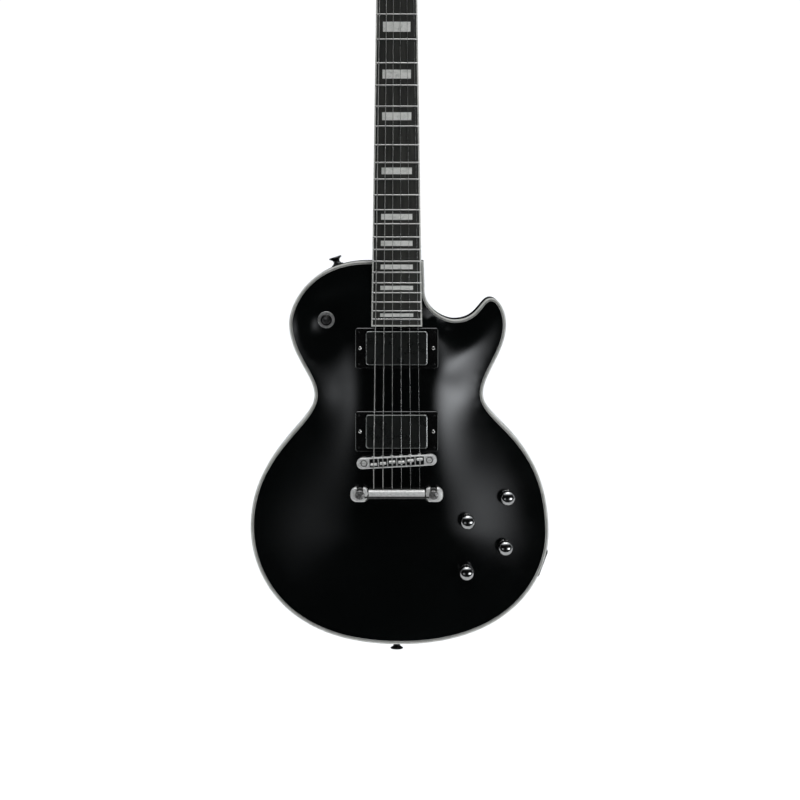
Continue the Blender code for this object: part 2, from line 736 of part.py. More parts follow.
def make_tailpiece():
    length = 0.078
    rings = []
    for x in (-length / 2, length / 2):
        rings.append([(x, y, TAIL_Z + z) for z, y in (
            (-0.0050, TAIL_BACK_Y), (0.0050, TAIL_BACK_Y), (0.0052, TAIL_FRONT_Y + 0.003),
            (0.0040, TAIL_FRONT_Y + 0.0008), (0.0020, TAIL_FRONT_Y), (-0.0020, TAIL_FRONT_Y),
            (-0.0040, TAIL_FRONT_Y + 0.0008), (-0.0052, TAIL_FRONT_Y + 0.003))])
    bar = add_object("tailpiece", skin(rings), NICKEL)
    lugs = []
    for side in (-1, 1):
        loop = rounded_rect(side * 0.0417, TAIL_Z, 0.0212, 0.0164, 0.0068, 4)
        tight = rounded_rect(side * 0.0417, TAIL_Z, 0.0200, 0.0152, 0.0062, 4)
        lug = skin([[(x, TAIL_BACK_Y + 0.0004, z) for x, z in loop], [(x, TAIL_FRONT_Y + 0.0016, z) for x, z in loop],
                    [(x, TAIL_FRONT_Y + 0.0006, z) for x, z in tight]])
        lugs.append(add_object("join", lug))
    apply_boolean(bar, lugs, "UNION")
    cutters = []
    for side in (-1, 1):
        x = side * TAIL_STUD_HALF
        cutters.append(box(x - 0.0038, x + 0.0038, -0.06, 0.0, TAIL_Z, TAIL_Z + 0.02))
        cutters.append(turned(((0, 0), (0.0038, 0), (0.0038, 0.06), (0, 0.06)), (x, -0.06, TAIL_Z), (0, 1, 0), 16))
    for i in range(6):
        cutters.append(turned(((0, -0.02), (0.0016, -0.02), (0.0016, 0.02), (0, 0.02)),
                              (string_x(i, SPREAD_BRIDGE), TAIL_HOLE_Y, TAIL_Z), (0, 0, 1), 8))
    apply_boolean(bar, [add_object("cut", c) for c in cutters])

    for side, name in ((-1, "bass"), (1, "treble")):
        x = side * TAIL_STUD_HALF
        profile = ((0, -0.0205), (0.0056, -0.0205), (0.0056, -0.0363), (0.0066, -0.0363), (0.0066, -0.0370),
                   (0.0034, -0.0374), (0.0060, -0.0378), (0.0060, -0.0392), (0.0034, -0.0392),
                   (0.0034, -0.0508), (0.0053, -0.0508), (0.0053, -0.0526), (0.0044, -0.0533), (0, -0.0533))
        stud = turned([(r, -y) for r, y in profile], (x, 0, TAIL_Z), (0, -1, 0), 16)
        add_object("tailpiece_stud_" + name, stud, NICKEL, (x, SEAT_Y, TAIL_Z))


# ---------------------------------------------------------------- pickups
def make_pickups():
    for name, z, ring_front, cover_front in PICKUPS:
        bm = bmesh.new()
        rows = []
        for y, width, height, radius in (
                (SEAT_Y, 0.0940, 0.0462, 0.005), (ring_front + 0.001, 0.0932, 0.0454, 0.0045),
                (ring_front, 0.0908, 0.0430, 0.0040), (ring_front, 0.0716, 0.0400, 0.0036),
                (SEAT_Y, 0.0716, 0.0400, 0.0036)):
            rows.append([bm.verts.new((px, y, pz)) for px, pz in rounded_rect(0, z, width, height, radius)])
        for low, high in zip(rows, rows[1:] + rows[:1]):
            for i in range(len(low)):
                j = (i + 1) % len(low)
                bm.faces.new((low[i], low[j], high[j], high[i]))
        add_object("pickup_ring_" + name, bm, ((0.010, 0.010, 0.010), 0.4, 0.0))
        rings = []
        for y, width, height, radius in (
                (cover_front + PICKUP_DEPTH, 0.0700, 0.0385, 0.0035), (cover_front + 0.0013, 0.0700, 0.0385, 0.0035),
                (cover_front + 0.0004, 0.0692, 0.0377, 0.0033), (cover_front, 0.0674, 0.0359, 0.003)):
            rings.append([(px, y, pz) for px, pz in rounded_rect(0, z, width, height, radius)])
        add_object("pickup_" + name, skin(rings), CHARCOAL)


# ---------------------------------------------------------------- controls
def make_controls():
    board = add_object("control_board", prism_y(grown_polygon(
        ((74, 88), (88, 88), (132, 116), (134, 180), (116, 184), (74, 158)), 0.004), -0.0092, -0.0076),
        ((0.03, 0.10, 0.05), 0.5, 0.0))
    joins = []
    bores = []
    for x, z in KNOBS:
        bush_end = -top_y(x, z, LOOP)
        pot = ((0, 0.0082), (0.0082, 0.0082), (0.0082, 0.0196), (0.0046, 0.0196), (0.0046, bush_end),
               (0, bush_end))
        joins.append(turned(pot, (x, 0, z), (0, -1, 0), 14))
        bores.append(turned(((0, 0.0120), (0.0035, 0.0120), (0.0035, 0.05), (0, 0.05)), (x, 0, z),
                            (0, -1, 0), 14))
    apply_boolean(board, [add_object("join", j) for j in joins], "UNION")
    apply_boolean(board, [add_object("cut", b) for b in bores])
    for i, (x, z) in enumerate(KNOBS):
        seat = top_y(x, z, LOOP)
        base = KNOB_CLEARANCE - seat
        dome = base + KNOB_HEIGHT - KNOB_DOME
        profile = [(0, 0.0125), (0.0030, 0.0125), (0.0030, base), (KNOB_RADIUS - 0.0004, base),
                   (KNOB_RADIUS, base + 0.0006), (KNOB_RADIUS, dome)]
        for k in range(1, 5):
            a = math.radians(90 * k / 5)
            profile.append((KNOB_RADIUS * math.cos(a), dome + KNOB_DOME * math.sin(a)))
        profile.append((0, base + KNOB_HEIGHT))
        add_object("knob_%d" % (i + 1), turned(profile, (x, 0, z), (0, -1, 0), 20), NICKEL, (x, seat, z))

    x, z = TOGGLE
    bush = turned(((0, 0.0190), (0.0058, 0.0190), (0.0058, 0.0363), (0.0095, 0.0363), (0.0095, 0.0375),
                   (0.0088, 0.0382), (0.0062, 0.0382), (0.0062, 0.0392), (0, 0.0392)), (x, 0, z), (0, -1, 0), 20)
    switch = add_object("toggle_switch", bush, NICKEL)
    apply_boolean(switch, [add_object("join", box(x - 0.0065, x + 0.0065, -0.0197, 0.0125, z - 0.0135, z + 0.0135))],
                  "UNION")
    bore = turned(((0, 0.0265), (0.0036, 0.0265), (0.0046, 0.05), (0, 0.05)), (x, 0, z), (0, -1, 0), 16)
    apply_boolean(switch, [add_object("cut", bore)])
    lever = turned(((0, 0.0275), (0.0018, 0.0278), (0.0024, 0.0300), (0.0015, 0.0322), (0.0015, 0.0440),
                    (0.0030, 0.0450), (0.0040, 0.0490), (0.0042, 0.0530), (0.0034, 0.0562), (0.0015, 0.0577),
                    (0, 0.0580)), (x, 0, z), (0, -1, 0), 12)
    add_object("toggle_lever", lever, ((0.55, 0.52, 0.44), 0.4, 0.0), (x, TOGGLE_PIVOT_Y, z))

    cover = grown_polygon(CAVITY_CORE, 0.0095 - GAP)
    add_object("control_cover", prism_y(cover, BACK_Y - 0.0020, BACK_Y), ((0.012, 0.012, 0.012), 0.5, 0.0))
    add_object("toggle_cover", turned(((0, BACK_Y - 0.0020), (0.0242, BACK_Y - 0.0020), (0.0242, BACK_Y),
                                       (0, BACK_Y)), (x, 0, z), (0, 1, 0), 28), ((0.012, 0.012, 0.012), 0.5, 0.0))
    add_object("battery", box(0.070, 0.0965, 0.0020, 0.0195, 0.092, 0.1405), ((0.05, 0.05, 0.06), 0.4, 0.0))

    place = frame_of(JACK_SEAT, JACK_NORMAL, (0, 1, 0))
    rings = []
    for h, size, radius in ((GAP, 0.032, 0.005), (0.0016, 0.032, 0.005), (0.0021, 0.031, 0.0045)):
        rings.append([tuple(place @ Vector((a, b, h))) for a, b in rounded_rect(0, 0, size, size, radius)])
    jack = add_object("output_jack", skin(rings), NICKEL)
    bush = turned(((0, -0.0046), (0.0085, -0.0046), (0.0085, 0.0010), (0.0062, 0.0010), (0.0062, 0.0035),
                   (0, 0.0035)), JACK_SEAT, JACK_NORMAL, 18)
    apply_boolean(jack, [add_object("join", bush)], "UNION")
    hole = turned(((0, -0.02), (JACK_BORE, -0.02), (JACK_BORE, 0.0025), (0.0047, 0.0037), (0.0047, 0.02),
                   (0, 0.02)), JACK_SEAT, JACK_NORMAL, 24)
    apply_boolean(jack, [add_object("cut", hole)])


# ---------------------------------------------------------------- strap buttons
def make_strap_buttons():
    profile = ((0, 0), (0.0072, 0), (0.0072, 0.0008), (0.0042, 0.0026), (0.0036, 0.0050), (0.0044, 0.0068),
               (0.0070, 0.0078), (0.0074, 0.0088), (0.0066, 0.0097), (0, 0.0097))
    add_object("strap_button_tail", turned(profile, (0, 0, 0.0097), (0, 0, -1), 18), NICKEL)
    add_object("strap_button_shoulder", turned(profile, SHOULDER_SEAT + SHOULDER_NORMAL * GAP, SHOULDER_NORMAL, 18),
               NICKEL)


JACK_SEAT, JACK_NORMAL = outline_seat((0.168, 0.101))
SHOULDER_SEAT, SHOULDER_NORMAL = outline_seat((-0.067, 0.443))
JACK_SEAT.y = 0.0030

make_body()
make_neck()
make_fretboard()
make_nut()
make_tuners()
make_strings()
make_bridge()
make_tailpiece()
make_pickups()
make_controls()
make_strap_buttons()
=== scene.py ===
"""Looks for the carved-top electric guitar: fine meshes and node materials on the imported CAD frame."""
import json
import math

import bmesh
import bpy
import numpy as np
from mathutils import Matrix, Vector
from mathutils.geometry import delaunay_2d_cdt


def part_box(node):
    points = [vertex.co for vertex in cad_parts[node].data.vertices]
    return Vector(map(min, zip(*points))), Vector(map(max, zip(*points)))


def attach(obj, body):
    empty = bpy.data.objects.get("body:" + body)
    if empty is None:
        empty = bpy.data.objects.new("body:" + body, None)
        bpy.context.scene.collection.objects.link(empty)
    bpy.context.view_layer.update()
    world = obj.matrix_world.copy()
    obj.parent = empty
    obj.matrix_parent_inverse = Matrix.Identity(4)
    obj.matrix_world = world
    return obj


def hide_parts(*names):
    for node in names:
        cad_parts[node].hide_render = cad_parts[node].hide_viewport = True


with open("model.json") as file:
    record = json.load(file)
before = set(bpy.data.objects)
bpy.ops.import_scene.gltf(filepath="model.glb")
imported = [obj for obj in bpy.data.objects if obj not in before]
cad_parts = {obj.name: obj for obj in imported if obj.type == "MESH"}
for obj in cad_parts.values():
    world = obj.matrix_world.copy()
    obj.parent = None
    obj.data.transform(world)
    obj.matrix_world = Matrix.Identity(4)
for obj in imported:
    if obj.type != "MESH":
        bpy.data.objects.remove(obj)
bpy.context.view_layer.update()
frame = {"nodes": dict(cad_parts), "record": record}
NODES = frame["nodes"]
ROOT = "guitar"
MM = 0.001
FORWARD = (0, -1, 0)
BACKWARD = (0, 1, 0)


def link(name, data):
    """A new object of the scene."""
    obj = bpy.data.objects.new(name, data)
    bpy.context.scene.collection.objects.link(obj)
    return obj


def box(node):
    low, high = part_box(node)
    return Vector(low), Vector(high)


def middle(node):
    low, high = box(node)
    return (low + high) / 2


def mount(name):
    """Place and direction of a mount of the record."""
    entry = next(m for m in frame["record"]["mounts"] if m["name"] == name)
    return Vector(entry["pos_m"]), Vector(entry["axis"]).normalized()


# ---------------- driving sizes in metres, as in the CAD
SCALE_LENGTH = 0.62865
BRIDGE_Z = 0.227
NUT_Z = box("nut")[0].z
BOARD_END_Z = box("fretboard")[0].z
NUT_WIDTH = 0.043
BOARD_TAPER = 0.0299
BOARD_RADIUS = 0.305
BOARD_THICK = 0.006
BOARD_END_Y = -0.0405
BOARD_SLOPE = 0.063
FRET_HEIGHT = 0.001
FRET_HALF = 0.0008
BACK_Y = box("body_back")[1].y
JOINT_Y = -0.020
RIM_Y = -0.025
CARVE_HEIGHT = 0.011
CARVE_POWER = 1.12
FLAT_FIELDS = ((-0.036, 0.036, 0.150, 0.386), (-0.088, -0.036, 0.372, 0.394), (0.030, 0.042, 0.330, 0.372))
FIELD_BLEND = 0.006
BINDING_WIDTH = 0.004
BACK_ROUND = 0.005
OUTLINE = (  # millimetres: x, z, travel angle, handle before, handle after
    (3, 10, 0, 140, 132),
    (173.5, 138, 90, 48, 112),
    (98, 299, 90, 34, 22),
    (124, 377, 90, 30, 16),
    (107, 407.5, 180, 9, 13),
    (65.5, 383, 180, 28, 11),
    (31.5, 421, 86, 27, 0),
    (30.5, 449.5, 180, 0, 0),
    (-32, 449.5, 180, 0, 68),
    (-122, 379, 270, 20, 36),
    (-93.5, 297.5, 270, 22, 34),
    (-167, 145, 270, 88, 46),
)
STRAIGHT_RUNS = (6, 7)
HEAD_PITCH = math.radians(14.0) + math.atan(BOARD_SLOPE)
HEAD_THICK = 0.0145
HEAD_Z = NUT_Z + 0.0055
HEAD_OUTLINE = (  # half width, distance from the nut, millimetres
    (17, 0), (21.6, 5), (24, 14), (31, 24), (34.5, 34), (36, 60), (38, 105),
    (40, 148), (38.5, 158), (31, 165), (20, 169), (8, 174.5), (0, 176),
)
POST_ROWS = (0.042, 0.084, 0.126)
POST_HALF = (0.024, 0.0265, 0.029)
POST_RADIUS = 0.0031
WRAP_RADIUS = 0.0043
WRAP_HEIGHT = 0.0055
WORM_OFFSET = 0.0056
WORM_DEPTH = -0.0198
STRING_RADII = (0.00058, 0.00046, 0.00034, 0.00024, 0.00019, 0.00015)
WOUND = (0, 1, 2)
SPREAD_NUT = 0.0355
SPREAD_BRIDGE = 0.052
STRING_BRIDGE_Y = -0.0535
STRING_NUT_Y = -0.0124
BRIDGE_CENTRE_Z = 0.2236
BRIDGE_SLANT = math.radians(3.1)
BRIDGE_LENGTH = 0.0905
BRIDGE_WIDTH = 0.0125
BRIDGE_END = 0.00624
BRIDGE_POST = 0.037
SADDLE_STAGGER = (-0.0016, -0.0008, 0.0004, -0.0004, 0.0008, 0.0016)
TAIL_Z = middle("tailpiece_stud_bass").z
TAIL_HOLE_Y = -0.0455
STUD_X = 0.04175
CAVITY_CORE = ((64, 80), (92, 76), (140, 104), (142, 188), (112, 196), (64, 168))

# ---------------- camera
AIM = Vector((0.0037, -0.03, 0.292))
DISTANCE = 2.5
PITCH = math.radians(5)
camera_data = bpy.data.cameras.new("camera")
camera_data.lens = 50
camera_data.sensor_width = 36
camera = link("camera", camera_data)
camera.location = AIM + Vector((0, -DISTANCE * math.cos(PITCH), DISTANCE * math.sin(PITCH)))
camera.rotation_euler = (math.radians(90) - PITCH, 0, 0)
FRAME_WIDTH = 0.908
camera_data.lens = camera_data.sensor_width * DISTANCE / FRAME_WIDTH
bpy.context.scene.camera = camera


# ---------------- materials
def new_node(tree, kind, **values):
    """Add a node, and give each named input a constant or another node's output."""
    node = tree.nodes.new(kind)
    for name, value in values.items():
        set_input(tree, node.inputs[name.replace("_", " ")], value)
    return node


def set_input(tree, socket, value):
    if isinstance(value, bpy.types.NodeSocket):
        tree.links.new(value, socket)
    else:
        socket.default_value = value


def finish_material(mat, **values):
    for name, value in values.items():
        set_input(mat.node_tree, mat.node_tree.nodes["Principled BSDF"].inputs[name.replace("_", " ")], value)
    return mat


def material(name):
    mat = bpy.data.materials.new(name)
    mat.use_nodes = True
    return mat, mat.node_tree


def noise(tree, scale, detail=4.0, stretch=(1, 1, 1), rough=0.5, distortion=0.0):
    """Noise over the object's own metres, so every pattern has a real size."""
    coord = new_node(tree, "ShaderNodeTexCoord")
    mapping = new_node(tree, "ShaderNodeMapping", Vector=coord.outputs["Object"], Scale=stretch)
    return new_node(tree, "ShaderNodeTexNoise", Vector=mapping.outputs["Vector"], Scale=scale, Detail=detail,
                    Roughness=rough, Distortion=distortion).outputs["Fac"]


def ramp(tree, source, *stops):
    """Colour ramp from (position, colour) stops."""
    node = new_node(tree, "ShaderNodeValToRGB", Fac=source)
    while len(node.color_ramp.elements) < len(stops):
        node.color_ramp.elements.new(0.5)
    for element, (position, colour) in zip(node.color_ramp.elements, stops):
        element.position = position
        element.color = (*colour, 1.0)
    return node.outputs["Color"]


def spread(tree, source, low, high):
    """The middle of a noise pattern, stretched to run between two values."""
    return new_node(tree, "ShaderNodeMapRange", Value=source, From_Min=0.3, From_Max=0.7, To_Min=low,
                    To_Max=high).outputs["Result"]


def bump(tree, source, distance, strength):
    return new_node(tree, "ShaderNodeBump", Height=source, Distance=distance,
                    Strength=strength).outputs["Normal"]


def surface(name, dark, light, scale, rough, metallic=0.0, coat=0.0, stretch=(1, 1, 1), relief=None,
            rough_scale=None, specular=0.5):
    """Two-tone noise colour, mottled roughness and fine relief; a single number is a neutral grey."""
    mat, tree = material(name)
    dark, light = ((tone,) * 3 if isinstance(tone, float) else tone for tone in (dark, light))
    colour = ramp(tree, noise(tree, scale, 5.0, stretch), (0.3, dark), (0.7, light))
    patches = spread(tree, noise(tree, rough_scale or scale * 0.6, 6.0, stretch), *rough)
    if relief:
        size, depth = relief
        finish_material(mat, Normal=bump(tree, noise(tree, size, 4.0, stretch), depth, 0.6))
    return finish_material(mat, Base_Color=colour, Roughness=patches, Metallic=metallic,
                           Specular_IOR_Level=specular, Coat_Weight=coat, Coat_Roughness=0.06)


LACQUER = surface("black_lacquer", (0.0013, 0.0018, 0.0018), (0.0026, 0.0033, 0.0033), 9.0, (0.10, 0.16),
                  relief=(220.0, 0.000010), rough_scale=28.0)
IVORY = surface("ivory_binding", (0.62, 0.615, 0.57), (0.80, 0.795, 0.745), 90.0, (0.30, 0.45), coat=0.2,
                relief=(900.0, 0.00001))
# Painted shade: a darker copy of the ivory for the side wall of the binding.
IVORY_SIDE_SHADE = surface("ivory_binding_side_shade", (0.34, 0.337, 0.315), (0.52, 0.515, 0.485), 160.0, (0.40, 0.55),
                     relief=(900.0, 0.00001))
BLACK_PLY = surface("black_ply", 0.010, (0.022, 0.022, 0.021), 150.0, (0.3, 0.45), coat=0.3)
EBONY = surface("ebony", (0.009, 0.0095, 0.0075), (0.030, 0.030, 0.024), 260.0, (0.42, 0.60),
                stretch=(1, 1, 0.05), relief=(900.0, 0.00006))
NICKEL = surface("nickel", (0.60, 0.595, 0.57), (0.74, 0.735, 0.71), 120.0, (0.08, 0.16), metallic=1.0,
                 relief=(1400.0, 0.000006))
SATIN_NICKEL = surface("satin_nickel", (0.66, 0.655, 0.63), (0.86, 0.855, 0.83), 420.0, (0.30, 0.46),
                       metallic=0.35, relief=(2200.0, 0.00003))
WASHER_NICKEL = surface("washer_nickel", (0.16, 0.16, 0.155), (0.46, 0.455, 0.44), 800.0, (0.28, 0.44),
                        metallic=0.4)
SHADE_NICKEL = surface("shade_nickel", (0.03, 0.03, 0.028), (0.07, 0.07, 0.065), 300.0, (0.35, 0.5),
                       metallic=0.6)
STUD_NICKEL = surface("stud_nickel", (0.05, 0.05, 0.048), (0.42, 0.415, 0.40), 1100.0, (0.25, 0.4),
                      metallic=0.7, relief=(900.0, 0.0002))
BLACK_NICKEL = surface("black_nickel", 0.05, 0.11, 300.0, (0.16, 0.26), metallic=1.0,
                       relief=(1400.0, 0.000006))
KNOB_NICKEL = surface("knob_nickel", (0.26, 0.26, 0.255), (0.38, 0.38, 0.375), 160.0, (0.09, 0.16),
                      metallic=1.0, relief=(1400.0, 0.000006))
# Painted highlights for the pickup covers and rings: a brighter and a dimmer grey metal on edges lit more and
# less by the side lamps.
LIT_EDGE_HIGHLIGHT = surface("cover_edge_highlight", (0.30, 0.31, 0.30), (0.44, 0.45, 0.44), 300.0, (0.22, 0.34), metallic=1.0)
DIM_EDGE_HIGHLIGHT = surface("dim_edge_highlight", (0.09, 0.095, 0.09), (0.16, 0.165, 0.16), 300.0, (0.24, 0.36), metallic=0.9)
BLACK_SCREW = surface("black_screw", 0.010, 0.03, 900.0, (0.3, 0.45), metallic=0.6)
FRET_WIRE = surface("fret_wire", (0.42, 0.415, 0.40), (0.58, 0.575, 0.555), 300.0, (0.24, 0.36), metallic=1.0,
                    stretch=(0.1, 1, 1))
RING_PLASTIC = surface("ring_plastic", 0.0012, 0.0028, 120.0, (0.16, 0.24), relief=(2500.0, 0.00001))
COVER_PLASTIC = surface("cover_plastic", (0.0042, 0.0052, 0.0044), (0.0075, 0.0085, 0.0075), 160.0,
                        (0.24, 0.34), relief=(3200.0, 0.000012))
TIP_PLASTIC = surface("tip_plastic", 0.004, 0.009, 300.0, (0.4, 0.55),
                      relief=(2600.0, 0.00002), specular=0.2)
BACK_PLASTIC = surface("back_plastic", 0.008, 0.014, 160.0, (0.4, 0.55), relief=(2600.0, 0.00003))
BONE = surface("bone", (0.66, 0.62, 0.53), (0.80, 0.77, 0.68), 220.0, (0.28, 0.42), coat=0.2,
               stretch=(0.3, 1, 1), relief=(1500.0, 0.00001))
FELT = surface("felt", 0.010, 0.03, 1800.0, (0.85, 0.98), relief=(2600.0, 0.0002))
STEEL = surface("rod_steel", (0.25, 0.25, 0.26), (0.42, 0.42, 0.43), 150.0, (0.3, 0.5), metallic=1.0)
BOARD_GREEN = surface("board_green", (0.01, 0.06, 0.03), (0.02, 0.12, 0.05), 200.0, (0.35, 0.5))
CAN_PAINT = surface("can_paint", (0.02, 0.02, 0.025), (0.06, 0.06, 0.07), 120.0, (0.3, 0.45), metallic=0.3)


def make_pearl():
    mat, tree = material("pearl")
    cloud = noise(tree, 85.0, 6.0, (1, 1, 1.6), 0.62, 1.4)
    colour = ramp(tree, cloud, (0.28, (0.58, 0.59, 0.55)), (0.45, (0.84, 0.84, 0.79)),
                  (0.56, (0.95, 0.94, 0.89)), (0.70, (0.76, 0.78, 0.75)))
    return finish_material(mat, Base_Color=colour, Roughness=spread(tree, cloud, 0.14, 0.30), Coat_Weight=0.5)


def make_wound(i):
    """Wound string: fine turns round the core, seen as light and dark rings along Z; the dark rings are
    painted shade in the grooves between turns.
    """
    mat, tree = material("wound_string_%d" % (i + 1))
    coord = new_node(tree, "ShaderNodeTexCoord")
    wave = new_node(tree, "ShaderNodeTexWave", Vector=coord.outputs["Object"], Scale=0.16 / STRING_RADII[i])
    wave.bands_direction = "Z"
    rings = wave.outputs["Fac"]
    colour = ramp(tree, rings, (0.1, (0.20, 0.20, 0.19)), (0.7, (0.62, 0.61, 0.58)))
    return finish_material(mat, Base_Color=colour, Metallic=1.0, Roughness=0.34,
                           Normal=bump(tree, rings, 0.0001, 0.5))


PEARL = make_pearl()
PLAIN_STRING = surface("plain_string", (0.46, 0.46, 0.45), (0.62, 0.62, 0.61), 500.0, (0.2, 0.32),
                       metallic=1.0, stretch=(1, 1, 0.02))


# ---------------- mesh helpers
def add(name, verts, faces, mats, body=ROOT, node=(), slot="nickel", sharp=35, face_mats=None, flat=False):
    """Link a mesh as a piece of the guitar."""
    mesh = bpy.data.meshes.new(name)
    mesh.from_pydata([tuple(v) for v in verts], [], [tuple(f) for f in faces])
    bm = bmesh.new()
    bm.from_mesh(mesh)
    bmesh.ops.recalc_face_normals(bm, faces=bm.faces)
    bm.to_mesh(mesh)
    bm.free()
    for mat in (mats if isinstance(mats, (list, tuple)) else [mats]):
        mesh.materials.append(mat)
    if face_mats:
        mesh.polygons.foreach_set("material_index", face_mats)
    if not flat:
        mesh.shade_smooth()
        mesh.set_sharp_from_angle(angle=math.radians(sharp))
    obj = link(name, mesh)
    if body:
        finish_piece(obj, body, node)
    return obj


def finish_piece(obj, body=ROOT, node=()):
    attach(obj, body)
    if node:
        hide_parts(*([node] if isinstance(node, str) else node))


def mm(*points):
    """Points given in millimetres, as metres."""
    return [tuple(value * MM for value in point) for point in points]


def spaced(start, end, count):
    return [start + (end - start) * k / count for k in range(count + 1)]


def quarter(count, first=0):
    """Cosine and sine over a quarter turn, with an exact 0 at its end."""
    return [(round(math.cos(a), 12), math.sin(a)) for a in spaced(0.0, math.pi / 2, count)[first:]]


def ring_stack(rings, closed_ends=True, loop=False):
    """Vertices and faces of stacked rings of equal length."""
    n = len(rings[0])
    verts = [p for ring in rings for p in ring]
    faces = []
    pairs = list(zip(range(len(rings) - 1), range(1, len(rings))))
    if loop:
        pairs.append((len(rings) - 1, 0))
    for a, b in pairs:
        for i in range(n):
            j = (i + 1) % n
            faces.append((a * n + i, a * n + j, b * n + j, b * n + i))
    if closed_ends and not loop:
        faces.append(tuple(range(n)))
        faces.append(tuple((len(rings) - 1) * n + i for i in range(n)))
    return verts, faces


def place_of(origin, axis, side=(1, 0, 0)):
    w = Vector(axis).normalized()
    u = Vector(side) if abs(w.dot(Vector(side))) < 0.99 else Vector((0, 1, 0))
    u = (u - w * u.dot(w)).normalized()
    return Matrix.Translation(Vector(origin)) @ Matrix((u, w.cross(u), w)).transposed().to_4x4()


def turned_data(profile, origin, axis, sides=48, ripple=None):
    """Turned shape; ripple(turn, k, radius) may change a radius for knurls and facets."""
    place = place_of(origin, axis)
    verts, rows, faces = [], [], []
    for radius, height in profile:
        row = []
        for k in range(sides if radius else 1):
            a = math.tau * k / sides
            r = ripple(a, k, radius) if ripple and radius else radius
            row.append(len(verts))
            verts.append(place @ Vector((r * math.cos(a), r * math.sin(a), height)))
        rows.append(row)
    for low, high in zip(rows, rows[1:]):
        for k in range(sides):
            n = (k + 1) % sides
            corner = [low[k % len(low)], low[n % len(low)], high[n % len(high)], high[k % len(high)]]
            faces.append(tuple(dict.fromkeys(corner)))
    return verts, faces


def turned(name, profile, origin, axis, mat, sides=48, ripple=None, **rest):
    return add(name, *turned_data(profile, origin, axis, sides, ripple), mat, **rest)


def rod(radius, low, high, origin, axis, sides):
    """A plain round rod along an axis."""
    return turned_data(((0, low), (radius, low), (radius, high), (0, high)), origin, axis, sides)


def knurled(depth, low, high):
    """Ripple that sinks every second side of the radii between two sizes."""
    return lambda turn, k, radius: radius - (depth if low < radius < high and k % 2 else 0.0)


def hexagonal(flat, low, high):
    """Ripple that gives six flats to the radii between two sizes."""
    def ripple(turn, k, radius):
        return flat / math.cos(turn % (math.pi / 3) - math.pi / 6) if low < radius < high else radius

    return ripple


def rounded_rect(cx, cz, width, height, radius, steps=8):
    points = []
    for sx, sz, start in ((1, 1, 0), (-1, 1, 90), (-1, -1, 180), (1, -1, 270)):
        for k in range(steps + 1):
            a = math.radians(start + 90 * k / steps)
            points.append((cx + sx * (width / 2 - radius) + radius * math.cos(a),
                           cz + sz * (height / 2 - radius) + radius * math.sin(a)))
    return points


def corners(cx, cz, half_x, half_z):
    return [(cx + sx * half_x, cz + sz * half_z) for sx, sz in ((-1, -1), (1, -1), (1, 1), (-1, 1))]


def at_y(points, y):
    """A ring of (x, z) points at one depth."""
    return [(x, y, z) for x, z in points]


def prism(points, *depths):
    return ring_stack([at_y(points, y) for y in depths])


def merge(parts):
    """Join several (verts, faces) into one."""
    verts, faces = [], []
    for v, f in parts:
        base = len(verts)
        verts += list(v)
        faces += [tuple(i + base for i in face) for face in f]
    return verts, faces


def tube_data(points, radius, sides):
    """Round tube along a path."""
    path = [Vector(p) for p in points]
    rings = []
    last = None
    for i, p in enumerate(path):
        ahead = path[min(i + 1, len(path) - 1)] - p
        behind = p - path[max(i - 1, 0)]
        along = Vector()
        for step in (ahead, behind):
            if step.length:
                along += step.normalized()
        side = last or Vector((1, 0, 0))
        place = place_of(p, along, side if abs(along.normalized().dot(side)) < 0.99 else Vector((0, 1, 0)))
        last = place.to_3x3() @ Vector((1, 0, 0))
        rings.append([place @ Vector((radius * math.cos(math.tau * k / sides),
                                      radius * math.sin(math.tau * k / sides), 0)) for k in range(sides)])
    return ring_stack(rings)


def combine(obj, shape, operation, mats=()):
    """Boolean with a (verts, faces) shape, applied at once."""
    other = add("cutter", *shape, mats, body=None)
    step = obj.modifiers.new("step", "BOOLEAN")
    step.operation = operation
    step.solver = "EXACT"
    step.object = other
    bpy.context.view_layer.update()
    result = bpy.data.meshes.new_from_object(obj.evaluated_get(bpy.context.evaluated_depsgraph_get()))
    obj.modifiers.remove(step)
    obj.data = result
    bpy.data.objects.remove(other, do_unlink=True)


def cut(obj, shapes):
    for shape in shapes:
        combine(obj, shape, "DIFFERENCE")
    obj.data.shade_smooth()
    obj.data.set_sharp_from_angle(angle=math.radians(35))


def shade(obj, hidden):
    """Painted shade: dark nickel on the faces whose middle the test picks, in hollows and on faces turned
    away from the light.
    """
    while len(obj.data.materials) > 1:
        obj.data.materials.pop(index=1)
    obj.data.materials.append(SHADE_NICKEL)
    for polygon in obj.data.polygons:
        if hidden(polygon.center):
            polygon.material_index = 1


# ---------------- shared geometry
def outline_points(per_run):
    points = []
    for i, (ax, az, a_angle, _, a_out) in enumerate(OUTLINE):
        bx, bz, b_angle, b_in, _ = OUTLINE[(i + 1) % len(OUTLINE)]
        start, end = Vector((ax, az)), Vector((bx, bz))
        if i in STRAIGHT_RUNS:
            points += [start.lerp(end, k / 6) * MM for k in range(6)]
            continue
        go = Vector((math.cos(math.radians(a_angle)), math.sin(math.radians(a_angle))))
        come = Vector((math.cos(math.radians(b_angle)), math.sin(math.radians(b_angle))))
        h0, h1 = start + go * a_out, end - come * b_in
        for k in range(per_run):
            t = k / per_run
            s = 1 - t
            points.append((start * s ** 3 + h0 * 3 * t * s * s + h1 * 3 * t * t * s + end * t ** 3) * MM)
    return points


LOOP = outline_points(36)


def inset(loop, distance):
    moved = []
    for i, p in enumerate(loop):
        a = (p - loop[i - 1]).normalized()
        b = (loop[(i + 1) % len(loop)] - p).normalized()
        na, nb = Vector((-a.y, a.x)), Vector((-b.y, b.x))
        mid = (na + nb).normalized()
        moved.append(p + mid * distance / max(0.5, mid.dot(na)))
    return moved


